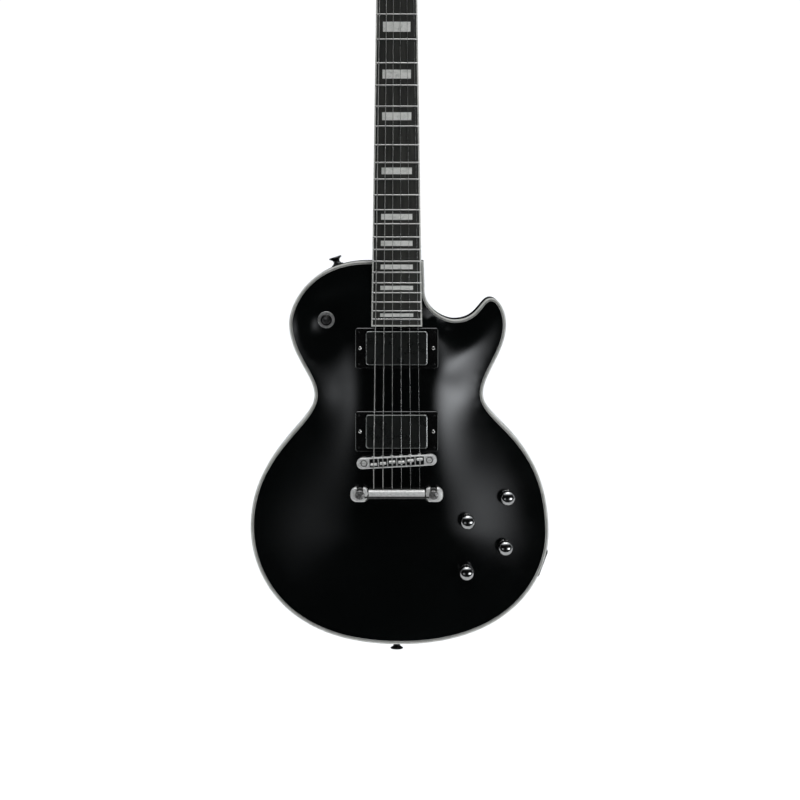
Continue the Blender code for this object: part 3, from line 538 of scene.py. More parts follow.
def edge_distances(points, loop):
    """Distance of each point to the loop, by numpy."""
    p = np.array([tuple(q) for q in points])
    a = np.array([tuple(q) for q in loop])
    d = np.roll(a, -1, 0) - a
    length = (d ** 2).sum(1) + 1e-18
    best = np.full(len(p), 1.0)
    for i in range(len(a)):
        t = np.clip(((p - a[i]) @ d[i]) / length[i], 0, 1)
        gap = p - a[i] - t[:, None] * d[i]
        best = np.minimum(best, np.sqrt((gap ** 2).sum(1)))
    return best


def inside(x, z, loop):
    odd = False
    for i in range(len(loop)):
        a, b = loop[i - 1], loop[i]
        if (a.y > z) != (b.y > z) and x < a.x + (z - a.y) * (b.x - a.x) / (b.y - a.y):
            odd = not odd
    return odd


def board_y(z):
    return BOARD_END_Y + BOARD_SLOPE * (z - BOARD_END_Z)


def board_width(z):
    return NUT_WIDTH + BOARD_TAPER * (NUT_Z - z)


def under_board_y(z):
    return board_y(z) + BOARD_THICK


def fret_z(n):
    return BRIDGE_Z + SCALE_LENGTH * 2 ** (-n / 12)


def string_x(i, spread_width):
    return -spread_width / 2 + spread_width * i / 5


def string_y(i, z):
    t = (z - BRIDGE_Z) / SCALE_LENGTH
    x = string_x(i, SPREAD_BRIDGE) * (1 - t) + string_x(i, SPREAD_NUT) * t
    return STRING_BRIDGE_Y * (1 - t) + STRING_NUT_Y * t + x * x / (2 * BOARD_RADIUS)


HEAD_START = Vector((0, under_board_y(HEAD_Z), HEAD_Z))
HEAD_UP = Vector((0, math.sin(HEAD_PITCH), math.cos(HEAD_PITCH)))
HEAD_FRONT = Vector((0, -math.cos(HEAD_PITCH), math.sin(HEAD_PITCH)))


def on_head(u, v, w=0.0):
    return HEAD_START + Vector((u, 0, 0)) + HEAD_UP * v + HEAD_FRONT * w


def bridge_point(across, along):
    c, s = math.cos(BRIDGE_SLANT), math.sin(BRIDGE_SLANT)
    return across * c - along * s, BRIDGE_CENTRE_Z + across * s + along * c


def bridge_across(i):
    """Distance of a string from the middle of the slanted bridge."""
    return string_x(i, SPREAD_BRIDGE) / math.cos(BRIDGE_SLANT)


def smooth_curve(points, steps):
    """Catmull-Rom curve through 2-D points, ends held."""
    pts = [Vector(p) for p in points]
    out = []
    for i in range(len(pts) - 1):
        p0, p1, p2, p3 = pts[max(i - 1, 0)], pts[i], pts[i + 1], pts[min(i + 2, len(pts) - 1)]
        for k in range(steps):
            t = k / steps
            out.append(0.5 * ((2 * p1) + (p2 - p0) * t + (2 * p0 - 5 * p1 + 4 * p2 - p3) * t * t
                              + (3 * p1 - p0 - 3 * p2 + p3) * t ** 3))
    out.append(pts[-1])
    return out


# ---------------- body
def carved_top():
    """The carved cap: flat plateau falling smoothly to the binding."""
    rim = inset(LOOP, BINDING_WIDTH - 0.0001)
    step_x, step_z = 0.0042, 0.0042 * 0.866
    grid = [((c + 0.5 * (r % 2)) * step_x, 0.012 + r * step_z) for r in range(123) for c in range(-42, 43)]
    grid = [(x, z) for x, z in grid if inside(x, z, rim)]
    far = edge_distances(grid, rim)
    points = list(rim) + [Vector(p) for p, d in zip(grid, far) if d > 0.4 * step_x]
    border = [(i, (i + 1) % len(rim)) for i in range(len(rim))]
    flat, _, faces, _, _, _ = delaunay_2d_cdt(points, border, [], 1, 1e-7)
    flat = np.array([tuple(p) for p in flat])
    total = np.zeros(len(flat))
    for left, right, low, high in FLAT_FIELDS:
        gap_x = np.maximum(np.maximum(left - flat[:, 0], flat[:, 0] - right), 0)
        gap_z = np.maximum(np.maximum(low - flat[:, 1], flat[:, 1] - high), 0)
        total += np.exp(-np.hypot(gap_x, gap_z) / FIELD_BLEND)
    field = np.maximum(-FIELD_BLEND * np.log(total), 0)
    edge = edge_distances(flat, LOOP)
    t = (edge / (edge + field + 1e-9)) ** CARVE_POWER
    height = CARVE_HEIGHT * t * t * (3 - 2 * t)
    links = set()
    for face in faces:
        for a, b in zip(face, face[1:] + face[:1]):
            links.add((min(a, b), max(a, b)))
    links = np.array(sorted(links))
    loose = edge > BINDING_WIDTH + 0.003
    for _ in range(5):  # softens the ridges where two edges are equally near
        total = np.zeros(len(flat))
        count = np.zeros(len(flat))
        for a, b in ((0, 1), (1, 0)):
            np.add.at(total, links[:, a], height[links[:, b]])
            np.add.at(count, links[:, a], 1)
        height = np.where(loose, total / np.maximum(count, 1), height)
    verts = [(x, RIM_Y - h, z) for (x, z), h in zip(flat, height)]
    return add("top_skin", verts, faces, LACQUER, node="body_top", slot="gloss_black_maple", sharp=80)


def body_shell():
    rows = [(JOINT_Y + 0.0002, 0.0015), (JOINT_Y + 0.0002, 0.0), ((JOINT_Y + BACK_Y) / 2, 0.0)]
    rows += [(BACK_Y - BACK_ROUND * (1 - s), BACK_ROUND * (1 - c)) for c, s in quarter(8)]
    shell = add("back_and_sides", *ring_stack([at_y(inset(LOOP, move), y) for y, move in rows]), LACQUER,
                node="body_back", slot="gloss_black_mahogany", sharp=30)
    centre = middle("toggle_cover")
    cut(shell, [prism(grown_polygon(CAVITY_CORE, 0.0095), BACK_Y - 0.0022, BACK_Y + 0.005),
                rod(0.0245, -0.0012, 0.008, (centre.x, BACK_Y - 0.001, centre.z), BACKWARD, 64)])


def grown_polygon(core, radius, steps=10):
    points = []
    count = len(core)
    for i in range(count):
        a, b, c = (Vector(core[(i + d) % count]) * MM for d in (-1, 0, 1))
        first = math.atan2(-(b - a).x, (b - a).y)
        second = math.atan2(-(c - b).x, (c - b).y)
        turn = (second - first) % math.tau
        for k in range(steps + 1):
            angle = first + turn * k / steps
            points.append(Vector((b.x + radius * math.cos(angle), b.y + radius * math.sin(angle))))
    return points


PLIES = ((0.0019, 0), (0.0023, 1), (0.0027, 0), (0.0031, 1), (0.0035, 0), (0.0040, 1))


def ply_strip(name, loop, rows, place, mats, **rest):
    """Strip of plies: one ring for each row (height, inset, ply of the band that ends there)."""
    rings = [[place(p, height) for p in inset(loop, move)] for height, move, _ in rows]
    verts, faces = ring_stack(rings, closed_ends=False)
    plies = [rows[i // len(loop) + 1][2] for i in range(len(faces))]
    add(name, verts, faces, mats, slot="ivory_binding", face_mats=plies, sharp=60, **rest)


def binding():
    """White outer strip rounded over the rim, then thin black and white lines; the side wall and its rounding
    carry a darker ivory as painted shade.
    """
    rows = [(JOINT_Y, 0.0, 0), (RIM_Y + 0.0006, 0.0, 2), (RIM_Y + 0.0002, 0.0002, 2), (RIM_Y, 0.0006, 0)]
    rows += [(RIM_Y, reach, ply) for reach, ply in PLIES]
    ply_strip("binding_plies", LOOP, rows, lambda p, y: (p.x, y, p.y), [IVORY, BLACK_PLY, IVORY_SIDE_SHADE],
              node="body_binding")


# ---------------- neck and headstock
SHAFT = (  # z, depth behind the board, squareness, as the CAD neck
    (0.4501, 0.0400, 5.0), (0.464, 0.0360, 4.2), (0.480, 0.0265, 3.2), (0.502, 0.0185, 2.4),
    (0.560, 0.0165, 2.2), (0.700, 0.0155, 2.1), (0.800, 0.0151, 2.1), (0.840, 0.0150, 2.1),
    (0.8612, 0.0158, 2.2), (0.872, 0.0150, 2.5),
)


def shaft_at(z):
    """Depth and squareness of the neck at a height, smoothly between the stated sections."""
    rows = SHAFT
    if z <= rows[0][0]:
        return rows[0][1:]
    for i in range(len(rows) - 1):
        if z <= rows[i + 1][0]:
            t = (z - rows[i][0]) / (rows[i + 1][0] - rows[i][0])
            out = []
            for c in (1, 2):
                p1, p2 = rows[i][c], rows[i + 1][c]
                width = rows[i + 1][0] - rows[i][0]
                m1 = (p2 - rows[i - 1][c]) / (rows[i + 1][0] - rows[i - 1][0]) * width if i else 0.0
                m2 = ((rows[i + 2][c] - p1) / (rows[i + 2][0] - rows[i][0]) * width
                      if i + 2 < len(rows) else p2 - p1)
                out.append((2 * t ** 3 - 3 * t * t + 1) * p1 + (t ** 3 - 2 * t * t + t) * m1
                           + (3 * t * t - 2 * t ** 3) * p2 + (t ** 3 - t * t) * m2)
            return out
    return rows[-1][1:]


def half_round(half, front, depth, exponent, z, steps=40):
    """Back of the neck at one height: half of a squared ellipse."""
    ring = []
    for k in range(steps + 1):
        c, s = math.cos(math.pi * k / steps), math.sin(math.pi * k / steps)
        ring.append((half * math.copysign(abs(c) ** exponent, c), front + depth * s ** exponent, z))
    return ring


def head_stack(loop, rows):
    """Rings of one outline over the headstock, each row (height, inset)."""
    return ring_stack([[on_head(p.x, p.y, height) for p in inset(loop, move)] for height, move in rows])


def neck():
    rings = []
    for z in [0.445] + spaced(0.4502, 0.51, 24) + spaced(0.51, HEAD_Z, 30)[1:]:
        depth, power = shaft_at(z)
        rings.append(half_round(board_width(z) / 2, under_board_y(z) + 0.0001, depth, 2 / power, z))
    for extra, half, depth in mm((6, 20.6, 14.6), (13, 18.5, 12.5)):
        front = on_head(0, extra / HEAD_UP.z).y + 0.0007
        rings.append(half_round(half, front, depth, 0.85, HEAD_Z + extra))
    block = []
    for z in (BOARD_END_Z, 0.4515):
        half = board_width(z) / 2
        front = under_board_y(z) + 0.0001
        block.append([(-half, front, z), (half, front, z), (half, JOINT_Y, z), (-half, JOINT_Y, z)])
    back = -HEAD_THICK
    head = head_stack(head_shape(), ((back, 0.0015), (back + 0.0005, 0.0005), (back + 0.0015, 0.0),
                                     (-0.0016, 0.0)))
    add("neck_wood", *merge([ring_stack(rings), ring_stack(block), head]), LACQUER, node="neck",
        slot="gloss_black_mahogany", sharp=40)


def head_shape():
    half = smooth_curve(mm(*HEAD_OUTLINE[:8]), 8)[:-1] + smooth_curve(mm(*HEAD_OUTLINE[7:]), 8)
    return half + [Vector((-p.x, p.y)) for p in reversed(half[:-1])]


def headstock_face():
    """Black veneer inside a white and black binding line."""
    shape = head_shape()
    rows = ((-0.0016, 0.0, 0), (-0.0003, 0.0, 0), (0.0, 0.0003, 0), (0.0, 0.0016, 0), (0.0, 0.0020, 1),
            (0.0, 0.0024, 0), (0.0, 0.0028, 1))
    ply_strip("headstock_binding", shape, rows, lambda p, height: on_head(p.x, p.y, height),
              [IVORY, BLACK_PLY])
    add("headstock_veneer", *head_stack(inset(shape, 0.0028), ((-0.0015, 0.0), (0.0, 0.0))), LACQUER,
        slot="gloss_black_maple")
    cover = mm((-7.5, 4), (7.5, 4), (9.5, 14), (7, 26), (0, 36), (-7, 26), (-9.5, 14), (-7.5, 4))
    rows = mm((0.1, 0), (1.2, 0), (1.7, 0.5))
    add("truss_rod_cover", *head_stack(smooth_curve(cover, 8)[:-1], rows), RING_PLASTIC,
        slot="black_cover_plastic")
    for k, up in enumerate((0.008, 0.030)):
        screw("truss_cover_screw_%d" % k, on_head(0, up, 0.0017), HEAD_FRONT, 0.0017)


def screw(name, at, axis, radius, turn=0.6, mat=NICKEL):
    """Domed screw head with a cross cut in it."""
    profile = [(0, -0.0006), (radius, -0.0006)] + [(radius * c, radius * 0.42 * s) for c, s in quarter(7)]
    obj = turned(name, profile, at, axis, mat, 28, body=None)
    arms = []
    for angle in (turn, turn + math.pi / 2):
        place = place_of(at, axis) @ Matrix.Rotation(angle, 4, "Z")
        arm = corners(0, 0, radius * 0.62, radius * 0.13)
        arms.append(ring_stack([[place @ Vector((x, y, h)) for x, y in arm]
                                for h in (radius * 0.08, radius)]))
    cut(obj, arms)
    finish_piece(obj)


# ---------------- fingerboard
def board_face(x, z):
    return board_y(z) + x * x / (2 * BOARD_RADIUS)


def board_ring(z, shrink=0.0, lift=0.0):
    half = board_width(z) / 2 - shrink
    bottom = under_board_y(z) - 0.0001
    return [(-half, bottom, z), (half, bottom, z)] + [(x, board_face(x, z) - lift, z)
                                                      for x in spaced(half, -half, 16)]


BOARD_BINDING = 0.0017
PURFLING = 0.0005
INLAY_FRETS = (3, 5, 7, 9, 12, 15, 17, 19, 21, 24)


def fingerboard():
    heights = spaced(BOARD_END_Z + BOARD_BINDING, NUT_Z, 24)
    add("fingerboard", *ring_stack([board_ring(z, BOARD_BINDING) for z in heights]), EBONY, node="fretboard",
        slot="ebony")
    strips, lines = [], []
    for side in (-1, 1):
        rings = []
        for z in spaced(BOARD_END_Z, NUT_Z, 24):
            half = board_width(z) / 2
            bottom, crest = under_board_y(z) - 0.0001, board_face(half, z)
            a, b = half * side, (half - BOARD_BINDING) * side
            rings.append([(a, bottom, z), (a, crest + 0.0003, z), (a - 0.0003 * side, crest - 0.00003, z),
                          (b, crest - 0.00007, z), (b, bottom, z)])
        strips.append(ring_stack(rings))
        rings = []
        for z in heights:
            a = (board_width(z) / 2 - BOARD_BINDING) * side
            b, y = a - PURFLING * side, board_face(a, z) - 0.00009
            rings.append([(a, y, z), (b, y, z), (b, y + 0.001, z), (a, y + 0.001, z)])
        lines.append(ring_stack(rings))
    strips.append(ring_stack([board_ring(BOARD_END_Z + d, 0.0, 0.00003) for d in (0.0, BOARD_BINDING)]))
    add("fingerboard_binding", *merge(strips), IVORY, slot="ivory_binding", sharp=30)
    add("fingerboard_purfling", *merge(lines), BLACK_PLY, slot="ebony")


def frets():
    parts = []
    for n in range(1, 25):
        z = fret_z(n)
        half = board_width(z) / 2 - 0.0003
        rings = []
        for x in spaced(half, -half, 20):
            base = board_face(x, z)
            end = min(1.0, max(half - abs(x), 0.0) / 0.0012)
            tall = FRET_HEIGHT * (0.25 + 0.75 * math.sqrt(end))
            ring = [(x, base + 0.0004, z - FRET_HALF), (x, base + 0.0004, z + FRET_HALF)]
            for j in range(9):
                a = math.pi * j / 8
                ring.append((x, base - tall * math.sin(a) ** 0.8, z + FRET_HALF * math.cos(a)))
            rings.append(ring)
        parts.append(ring_stack(rings))
    add("frets", *merge(parts), FRET_WIRE, sharp=50)


def inlays():
    """Pearl blocks set between frets, and dots on the bass edge."""
    blocks, dots = [], []
    for n in INLAY_FRETS:
        low, high = fret_z(n), fret_z(n - 1)
        mid = (low + high) / 2
        tall = (high - low) * (0.42 if n > 12 else 0.40)
        wide = 0.0365 * (board_width(mid) / 0.0545)
        outline = rounded_rect(0, mid, wide, tall, 0.0004, 3)
        rings = [[(x, board_face(x, z) - lift, z) for x, z in outline] for lift in (-0.0006, 0.00006)]
        blocks.append(ring_stack(rings, closed_ends=False))
        verts = []
        for x in spaced(0.0004 - wide / 2, wide / 2 - 0.0004, 12):
            verts += [(x, board_face(x, z) - 0.00007, z) for z in (mid - tall / 2, mid + tall / 2)]
        blocks.append((verts, [(a, a + 2, a + 3, a + 1) for a in range(0, 24, 2)]))
        for shift in ((-0.003, 0.003) if n in (12, 24) else (0.0,)):
            z = mid + shift
            at = (-board_width(z) / 2, (board_y(z) + under_board_y(z)) / 2, z)
            dots.append(turned_data(mm((0, -0.4), (1, -0.4), (1, 0.08), (0, 0.12)), at, (-1, 0, 0), 16))
    add("inlays", *merge(blocks), PEARL, slot="ivory_binding", flat=True)
    add("side_dots", *merge(dots), BLACK_PLY, slot="ebony")


def nut():
    half = NUT_WIDTH / 2
    base = under_board_y(NUT_Z) - 0.0002
    outline = [(-half, base), (half, base)]
    for i in reversed(range(6)):
        x = string_x(i, SPREAD_NUT)
        radius = STRING_RADII[i]
        y = string_y(i, NUT_Z)
        crest = y - 0.0005
        wide = radius + 0.00015
        if i == 5:
            outline += [(half, crest + 0.0012), (half - 0.0006, crest + 0.0003)]
        outline.append((x + wide, crest))
        for k in range(7):
            a = math.pi * k / 6
            outline.append((x + wide * math.cos(a), y + 0.0002 + wide * math.sin(a)))
        outline.append((x - wide, crest))
        if i == 0:
            outline += [(-half + 0.0006, crest + 0.0003), (-half, crest + 0.0012)]
    rings = [[(x, y, z) for x, y in outline] for z in (NUT_Z + 0.0001, NUT_Z + 0.005)]
    add("nut_bone", *ring_stack(rings), BONE, node="nut", slot="bone", flat=True)


# ---------------- strings
def post_place(i):
    side = -1 if i < 3 else 1
    row = i if i < 3 else 5 - i
    return side, POST_HALF[row], POST_ROWS[row]


def saddle_place(i):
    return bridge_point(bridge_across(i), SADDLE_STAGGER[i])


def strings():
    for i in range(6):
        side, half, row = post_place(i)
        radius = STRING_RADII[i]
        x0, x1 = string_x(i, SPREAD_BRIDGE), string_x(i, SPREAD_NUT)
        kink = saddle_place(i)[1] - 0.0045
        end = on_head(side * (half - WRAP_RADIUS - radius - 0.0003), row, WRAP_HEIGHT)
        kink_y, nut_y = string_y(i, kink), string_y(i, NUT_Z)
        route = ((TAIL_HOLE_Y, TAIL_Z - 0.001), (TAIL_HOLE_Y - 0.0004, TAIL_Z + 0.0045),
                 (kink_y + 0.0003, kink - 0.001), (kink_y, kink + 0.001))
        points = [Vector((x0, y, z)) for y, z in route]
        start, stop = points[-1], Vector((x1, nut_y, NUT_Z + 0.0005))
        points += [start.lerp(stop, k / 12) for k in range(1, 13)]
        points.append(Vector((x1, nut_y + 0.0002, NUT_Z + 0.0045)))
        points += [points[-1].lerp(end, k / 4) for k in range(1, 5)]
        mat = make_wound(i) if i in WOUND else PLAIN_STRING
        name = "string_%d" % (i + 1)
        add(name.replace("_", "_wire_"), *tube_data(points, radius, 12), mat, node=name,
            slot="string_steel", sharp=60)
        turned("string_ball_%d" % (i + 1), mm((0, -1.6), (1.2, -1.6), (1.3, 0), (1.2, 1.6), (0, 1.6)),
               (x0, TAIL_HOLE_Y, TAIL_Z - 0.0035), (0, 0, 1), FRET_WIRE, 16)


# ---------------- pickups
def pickup_ring(name):
    low, high = box("pickup_ring_" + name)
    centre, size = (low + high) / 2, high - low

    def hole(width, height, radius, y):
        return at_y(rounded_rect(centre.x, centre.z, width, height, radius, 10), y)

    rings = [hole(size.x - 2 * trim, size.z - 2 * trim, 0.0030 - trim, y)
             for y, trim in ((high.y, 0.0), (low.y + 0.0006, 0.0003), (low.y, 0.0009))]
    rings += [hole(0.0724, 0.0408, 0.0038, low.y), hole(0.0718, 0.0402, 0.0036, low.y + 0.0004),
              hole(0.0718, 0.0402, 0.0036, high.y)]
    verts, faces = ring_stack(rings, closed_ends=False, loop=True)
    n = len(rings[0])
    # Painted highlight: the front bevel at the left and right ends gets the dim grey edge metal.
    reach = size.x / 2 - 0.0008
    mats = [int(n <= i < 2 * n and abs(verts[face[0]][0] - centre.x) > reach) for i, face in enumerate(faces)]
    add("ring_" + name, verts, faces, [RING_PLASTIC, DIM_EDGE_HIGHLIGHT], node="pickup_ring_" + name,
        slot="black_ring_plastic", face_mats=mats, sharp=25)


def pickup_cover(name):
    low, high = box(name)
    centre, size = (low + high) / 2, high - low
    rows = mm((1.2, 0), (0.8, 0.1), (0.4, 0.4), (0.1, 0.8), (0, 1.2), (0, 3.0))
    rings = [at_y(rounded_rect(centre.x, centre.z, size.x - 2 * trim, size.z - 2 * trim, 0.0035 - trim, 10),
                  low.y + drop) for drop, trim in [(size.y, 0.0)] + rows]
    verts, faces = ring_stack(rings)
    n = len(rings[0])
    # Painted highlight: the rounded bevel is grey metal, brighter at the left and right ends and dimmer at
    # the top and bottom.
    mats = []
    for i, face in enumerate(faces):
        at_side = abs(verts[face[0]][0] - centre.x) > size.x / 2 - 0.0030
        mats.append((1 if at_side else 2) if n <= i < 5 * n else 0)
    add(name.replace("pickup", "cover"), verts, faces, [COVER_PLASTIC, LIT_EDGE_HIGHLIGHT, DIM_EDGE_HIGHLIGHT], body=name,
        node=name, slot="charcoal_cover_plastic", face_mats=mats, sharp=60)


def pickups():
    for name in ("neck", "bridge"):
        pickup_ring(name)
        pickup_cover("pickup_" + name)
        front, z = box("pickup_ring_" + name)[0].y, middle("pickup_" + name).z
        for side in (-1, 1):
            at = (side * 0.0414, front, z)
            screw("height_screw_%s_%d" % (name, side + 1), at, FORWARD, 0.0020, 0.4 + side)
            for up in (-1, 1):
                at = (side * 0.0428, front + 0.0003, z + up * 0.0182)
                screw("ring_screw_%s_%d%d" % (name, side + 1, up + 1), at, FORWARD, 0.0013, side * up,
                      BLACK_SCREW)


# ---------------- bridge and tailpiece
def bridge_body():
    low, high = box("bridge_base")

    def ring(y, trim, radius):
        flat = rounded_rect(0, 0, BRIDGE_LENGTH - 2 * trim, BRIDGE_WIDTH - 2 * trim, radius, 10)
        return at_y([bridge_point(*p) for p in flat], y)

    rings = [ring(high.y, 0.0004, 0.0058), ring(high.y - 0.0004, 0.0, BRIDGE_END)]
    for c, s in quarter(5):
        trim = 0.0009 * (1 - c)
        rings.append(ring(low.y + 0.0009 * (1 - s), trim, BRIDGE_END - trim))
    base = add("bridge_body", *ring_stack(rings), SATIN_NICKEL, node="bridge_base", sharp=45)
    holes = []
    for i in range(6):
        pocket = rounded_rect(bridge_across(i), 0, 0.0094, 0.0094, 0.0004, 2)
        holes.append(prism([bridge_point(*p) for p in pocket], -0.06, -0.0442))
    for side in (-1, 1):
        x, z = bridge_point(side * BRIDGE_POST, 0)
        bore = mm((0, 0), (4, 0), (3.4, 11), (3.4, 30), (0, 30))
        holes.append(turned_data(bore, (x, -0.0505, z), BACKWARD, 40))
    cut(base, holes)
    c, s = math.cos(BRIDGE_SLANT), math.sin(BRIDGE_SLANT)
    # Painted shade: the pocket floors and walls under the saddles get the dark shade nickel.
    shade(base, lambda spot: abs((spot.z - BRIDGE_CENTRE_Z) * c - spot.x * s) < 0.0049 and abs(spot.x) < 0.032
          and low.y + 0.0008 < spot.y < high.y - 0.001)


def saddles():
    along = Vector((-math.sin(BRIDGE_SLANT), 0, math.cos(BRIDGE_SLANT)))
    for i in range(6):
        name = "saddle_%d" % (i + 1)
        low, high = box(name)
        crest = low.y
        across = bridge_across(i)
        slope = [(0.0020, high.y), (0.0020, crest + 0.0024), (0.0016, crest + 0.0014), (0.0005, crest)]
        profile = [(-0.0020, high.y)] + slope + [(-b, y) for b, y in slope[:0:-1]]
        edge = mm((3.9, 0.8), (3.3, 0.1), (1.2, 0)) + [(STRING_RADII[i], 0.0)]
        rings = []
        for shift, drop in [(-shift, drop) for shift, drop in edge] + [(0.0, 0.0003)] + edge[::-1]:
            ring = []
            for b, y in profile:
                x, z = bridge_point(across + shift, SADDLE_STAGGER[i] + b)
                ring.append((x, y + (drop if y < crest + 0.003 else 0), z))
            rings.append(ring)
        verts, faces = ring_stack(rings)
        # Painted shade: the saddle faces more than 1 mm deeper than the crest get the dark shade nickel.
        shaded = [int(sum(verts[k][1] for k in face) / len(face) > crest + 0.0010) for face in faces]
        add("saddle_block_%d" % (i + 1), verts, faces, [SATIN_NICKEL, SHADE_NICKEL], body=name, node=name,
            sharp=30, face_mats=shaded)
        x, z = bridge_point(across, 0.00625)
        tip = -10.85  # the shank runs through the block to the far wall of the pocket
        profile = mm((0, tip), (0.9, tip), (0.9, 0), (1.7, 0.1), (1.9, 0.6), (1.7, 1.4), (0, 1.6))
        turned("intonation_screw_%d" % (i + 1), profile, (x, -0.0478, z), along, SATIN_NICKEL, 24, sharp=30)


def thumbwheels():
    profile = mm((0, 30), (4, 30), (4, 36.3), (5.5, 36.3), (5.5, 36.8), (3, 36.8), (3, 37.4), (6.8, 37.4),
                 (7, 37.7), (7, 39.8), (6.8, 40.1), (3, 40.1), (3, 49.2), (2.6, 49.6), (0, 49.6))
    for side, name in ((-1, "bass"), (1, "treble")):
        x, z = bridge_point(side * BRIDGE_POST, 0)
        post = turned("thumbwheel_" + name, profile, (x, 0, z), FORWARD, SATIN_NICKEL, 72,
                      knurled(0.00025, 0.0065, 0.0075), body=None, sharp=30)
        cut(post, [prism(corners(x, z, 0.0035, 0.0004), -0.0486, -0.052)])
        finish_piece(post, node="bridge_post_" + name)


def tailpiece():
    high = box("tailpiece")[1]
    back = high.y - 0.0002
    section = [(-0.0046, back), (0.0046, back), (0.0051, back - 0.0008)]
    section += mm((5.2, -46.2), (5.0, -47.1), (4.5, -47.8), (3.4, -48.5), (1.6, -49.3), (-0.4, -50.0),
                  (-1.8, -50.4), (-2.8, -50.5), (-3.7, -50.2), (-4.4, -49.4), (-4.9, -48.2), (-5.2, -46.6))
    section.append((-0.0051, back - 0.0008))
    right = [0.0365, 0.0333, 0.0317, 0.022, 0.011]
    stations = [-x for x in right] + [0.0] + right[::-1]
    body = add("tailpiece_body", *ring_stack([[(x, y, TAIL_Z + z) for z, y in section] for x in stations]),
               SATIN_NICKEL, body=None)
    rows = [(high.y, 0.0006), (high.y - 0.0006, 0.0)] + mm((-48.4, 0), (-49, 0.2), (-49.6, 0.8), (-49.9, 1.6))
    holes = []
    for side in (-1, 1):
        rings = [at_y(rounded_rect(side * 0.0417, TAIL_Z, 0.0212 - 2 * trim, 0.0164 - 2 * trim,
                                   0.0068 - trim, 10), y) for y, trim in rows]
        combine(body, ring_stack(rings), "UNION", [SATIN_NICKEL])
        holes.append(prism(corners(side * STUD_X, TAIL_Z + 0.01, 0.0038, 0.01), -0.06, -0.03))
        holes.append(rod(0.00381, 0, 0.03, (side * STUD_X, -0.06, TAIL_Z), BACKWARD, 40))
    for i in range(6):
        at = (string_x(i, SPREAD_BRIDGE), TAIL_HOLE_Y, TAIL_Z)
        holes.append(rod(0.0016, -0.02, 0.02, at, (0, 0, 1), 24))
    cut(body, holes)
    # Painted shade: the lower half of the bar and the thin seams beside the lugs get the dark shade nickel.
    shade(body, lambda spot: (abs(spot.x) < 0.0355 and spot.z < TAIL_Z - 0.0012)
          or 0.0318 < abs(spot.x) < 0.0332)
    finish_piece(body, node="tailpiece")


def tail_studs():
    profile = mm((0, 30), (5.6, 30), (5.6, 36.3), (6.6, 36.3), (6.6, 36.8), (6, 37.2), (3.4, 37.4),
                 (3.4, 37.8), (6, 37.8), (6, 39.2), (3.4, 39.2), (3.4, 50.8), (5.3, 50.8), (5.3, 52.3),
                 (5, 52.9), (4.4, 53.3), (0, 53.3))
    for side, name, turn in ((-1, "bass", 0.5), (1, "treble", -0.7)):
        at = Vector((side * STUD_X, TAIL_Z))
        stud = turned("stud_" + name, profile, (at.x, 0, at.y), FORWARD, STUD_NICKEL, 56, body=None, sharp=30)
        slot = [Matrix.Rotation(turn, 2) @ Vector(p) + at for p in corners(0, 0, 0.006, 0.0006)]
        cut(stud, [prism(slot, -0.0521, -0.055)])
        finish_piece(stud, node="tailpiece_stud_" + name)


# ---------------- controls
def knobs():
    for i in range(4):
        node = "knob_%d" % (i + 1)
        low, high = box(node)
        centre, radius = (low + high) / 2, (high.x - low.x) / 2
        front = -low.y
        base, dome = front - 0.0168, front - 0.0058
        profile = [(0, 0.0126), (0.0029, 0.0126), (0.0029, base)]
        profile += [(radius - trim, base + up) for trim, up in
                    mm((0.9, 0), (0.1, 0.7), (0.1, 1.4), (0.6, 1.9), (0.6, 2.3), (0, 2.9))]
        profile.append((radius, dome))
        profile += [(radius * c ** 0.92, dome + (front - dome) * s) for c, s in quarter(16, 1)]
        turned("dome_knob_%d" % (i + 1), profile, (centre.x, 0, centre.z), FORWARD, KNOB_NICKEL, 96,
               body=node, node=node, sharp=40)
        pin = math.radians(25 + 80 * i)
        out = Vector((math.cos(pin), 0, math.sin(pin)))
        at = Vector((centre.x, -(base + 0.006), centre.z)) + out * (radius - 0.0002)
        profile = mm((0, -1), (1.2, -1), (1.2, -0.2), (0.9, 0), (0.6, -0.4), (0, -0.4))
        turned("knob_screw_%d" % (i + 1), profile, at, out, STEEL, 6, body=node)


def toggle():
    lever = middle("toggle_lever")
    at = (lever.x, 0, lever.z)
    washer = mm((0, 32), (5.8, 32), (5.8, 36.3), (9.2, 36.3), (9.5, 36.6), (9.5, 37.4), (9.1, 37.9),
                (7, 37.9), (6.8, 37.6), (4.8, 37.6), (4.8, 33), (0, 33))
    turned("toggle_washer", washer, at, FORWARD, WASHER_NICKEL, 96, node="toggle_switch", sharp=30)
    ring_nut = mm((4.4, 37.6), (6.6, 37.6), (6.6, 38.8), (6.2, 39.2), (4.8, 39.2), (4.2, 38.6), (4, 33),
                  (4.4, 33), (4.4, 37.6))
    turned("toggle_nut", ring_nut, at, FORWARD, BLACK_NICKEL, 96, knurled(0.00018, 0.0055, 0.0075), sharp=30)
    chassis = prism(corners(lever.x, lever.z, 0.0065, 0.0135), -0.0195, box("toggle_switch")[1].y)
    add("toggle_frame", *chassis, STEEL)
    stem = mm((0, 27.8), (1.8, 28), (2.4, 30), (1.5, 32.2), (1.5, 45.5), (0, 45.5))
    turned("toggle_stem", stem, at, FORWARD, NICKEL, 32, body="toggle_lever")
    tip = mm((0, 44), (2.4, 44), (2.8, 44.6))
    tip += [(0.0029 + 0.0013 * s, 0.0450 + 0.0070 * (1 - c) ** 0.7) for c, s in quarter(12)]
    tip += [(0.0042 * c, 0.0520 + 0.0059 * s) for c, s in quarter(9, 1)]
    turned("toggle_tip", tip, at, FORWARD, TIP_PLASTIC, 48, body="toggle_lever", node="toggle_lever",
           slot="toggle_tip", sharp=50)


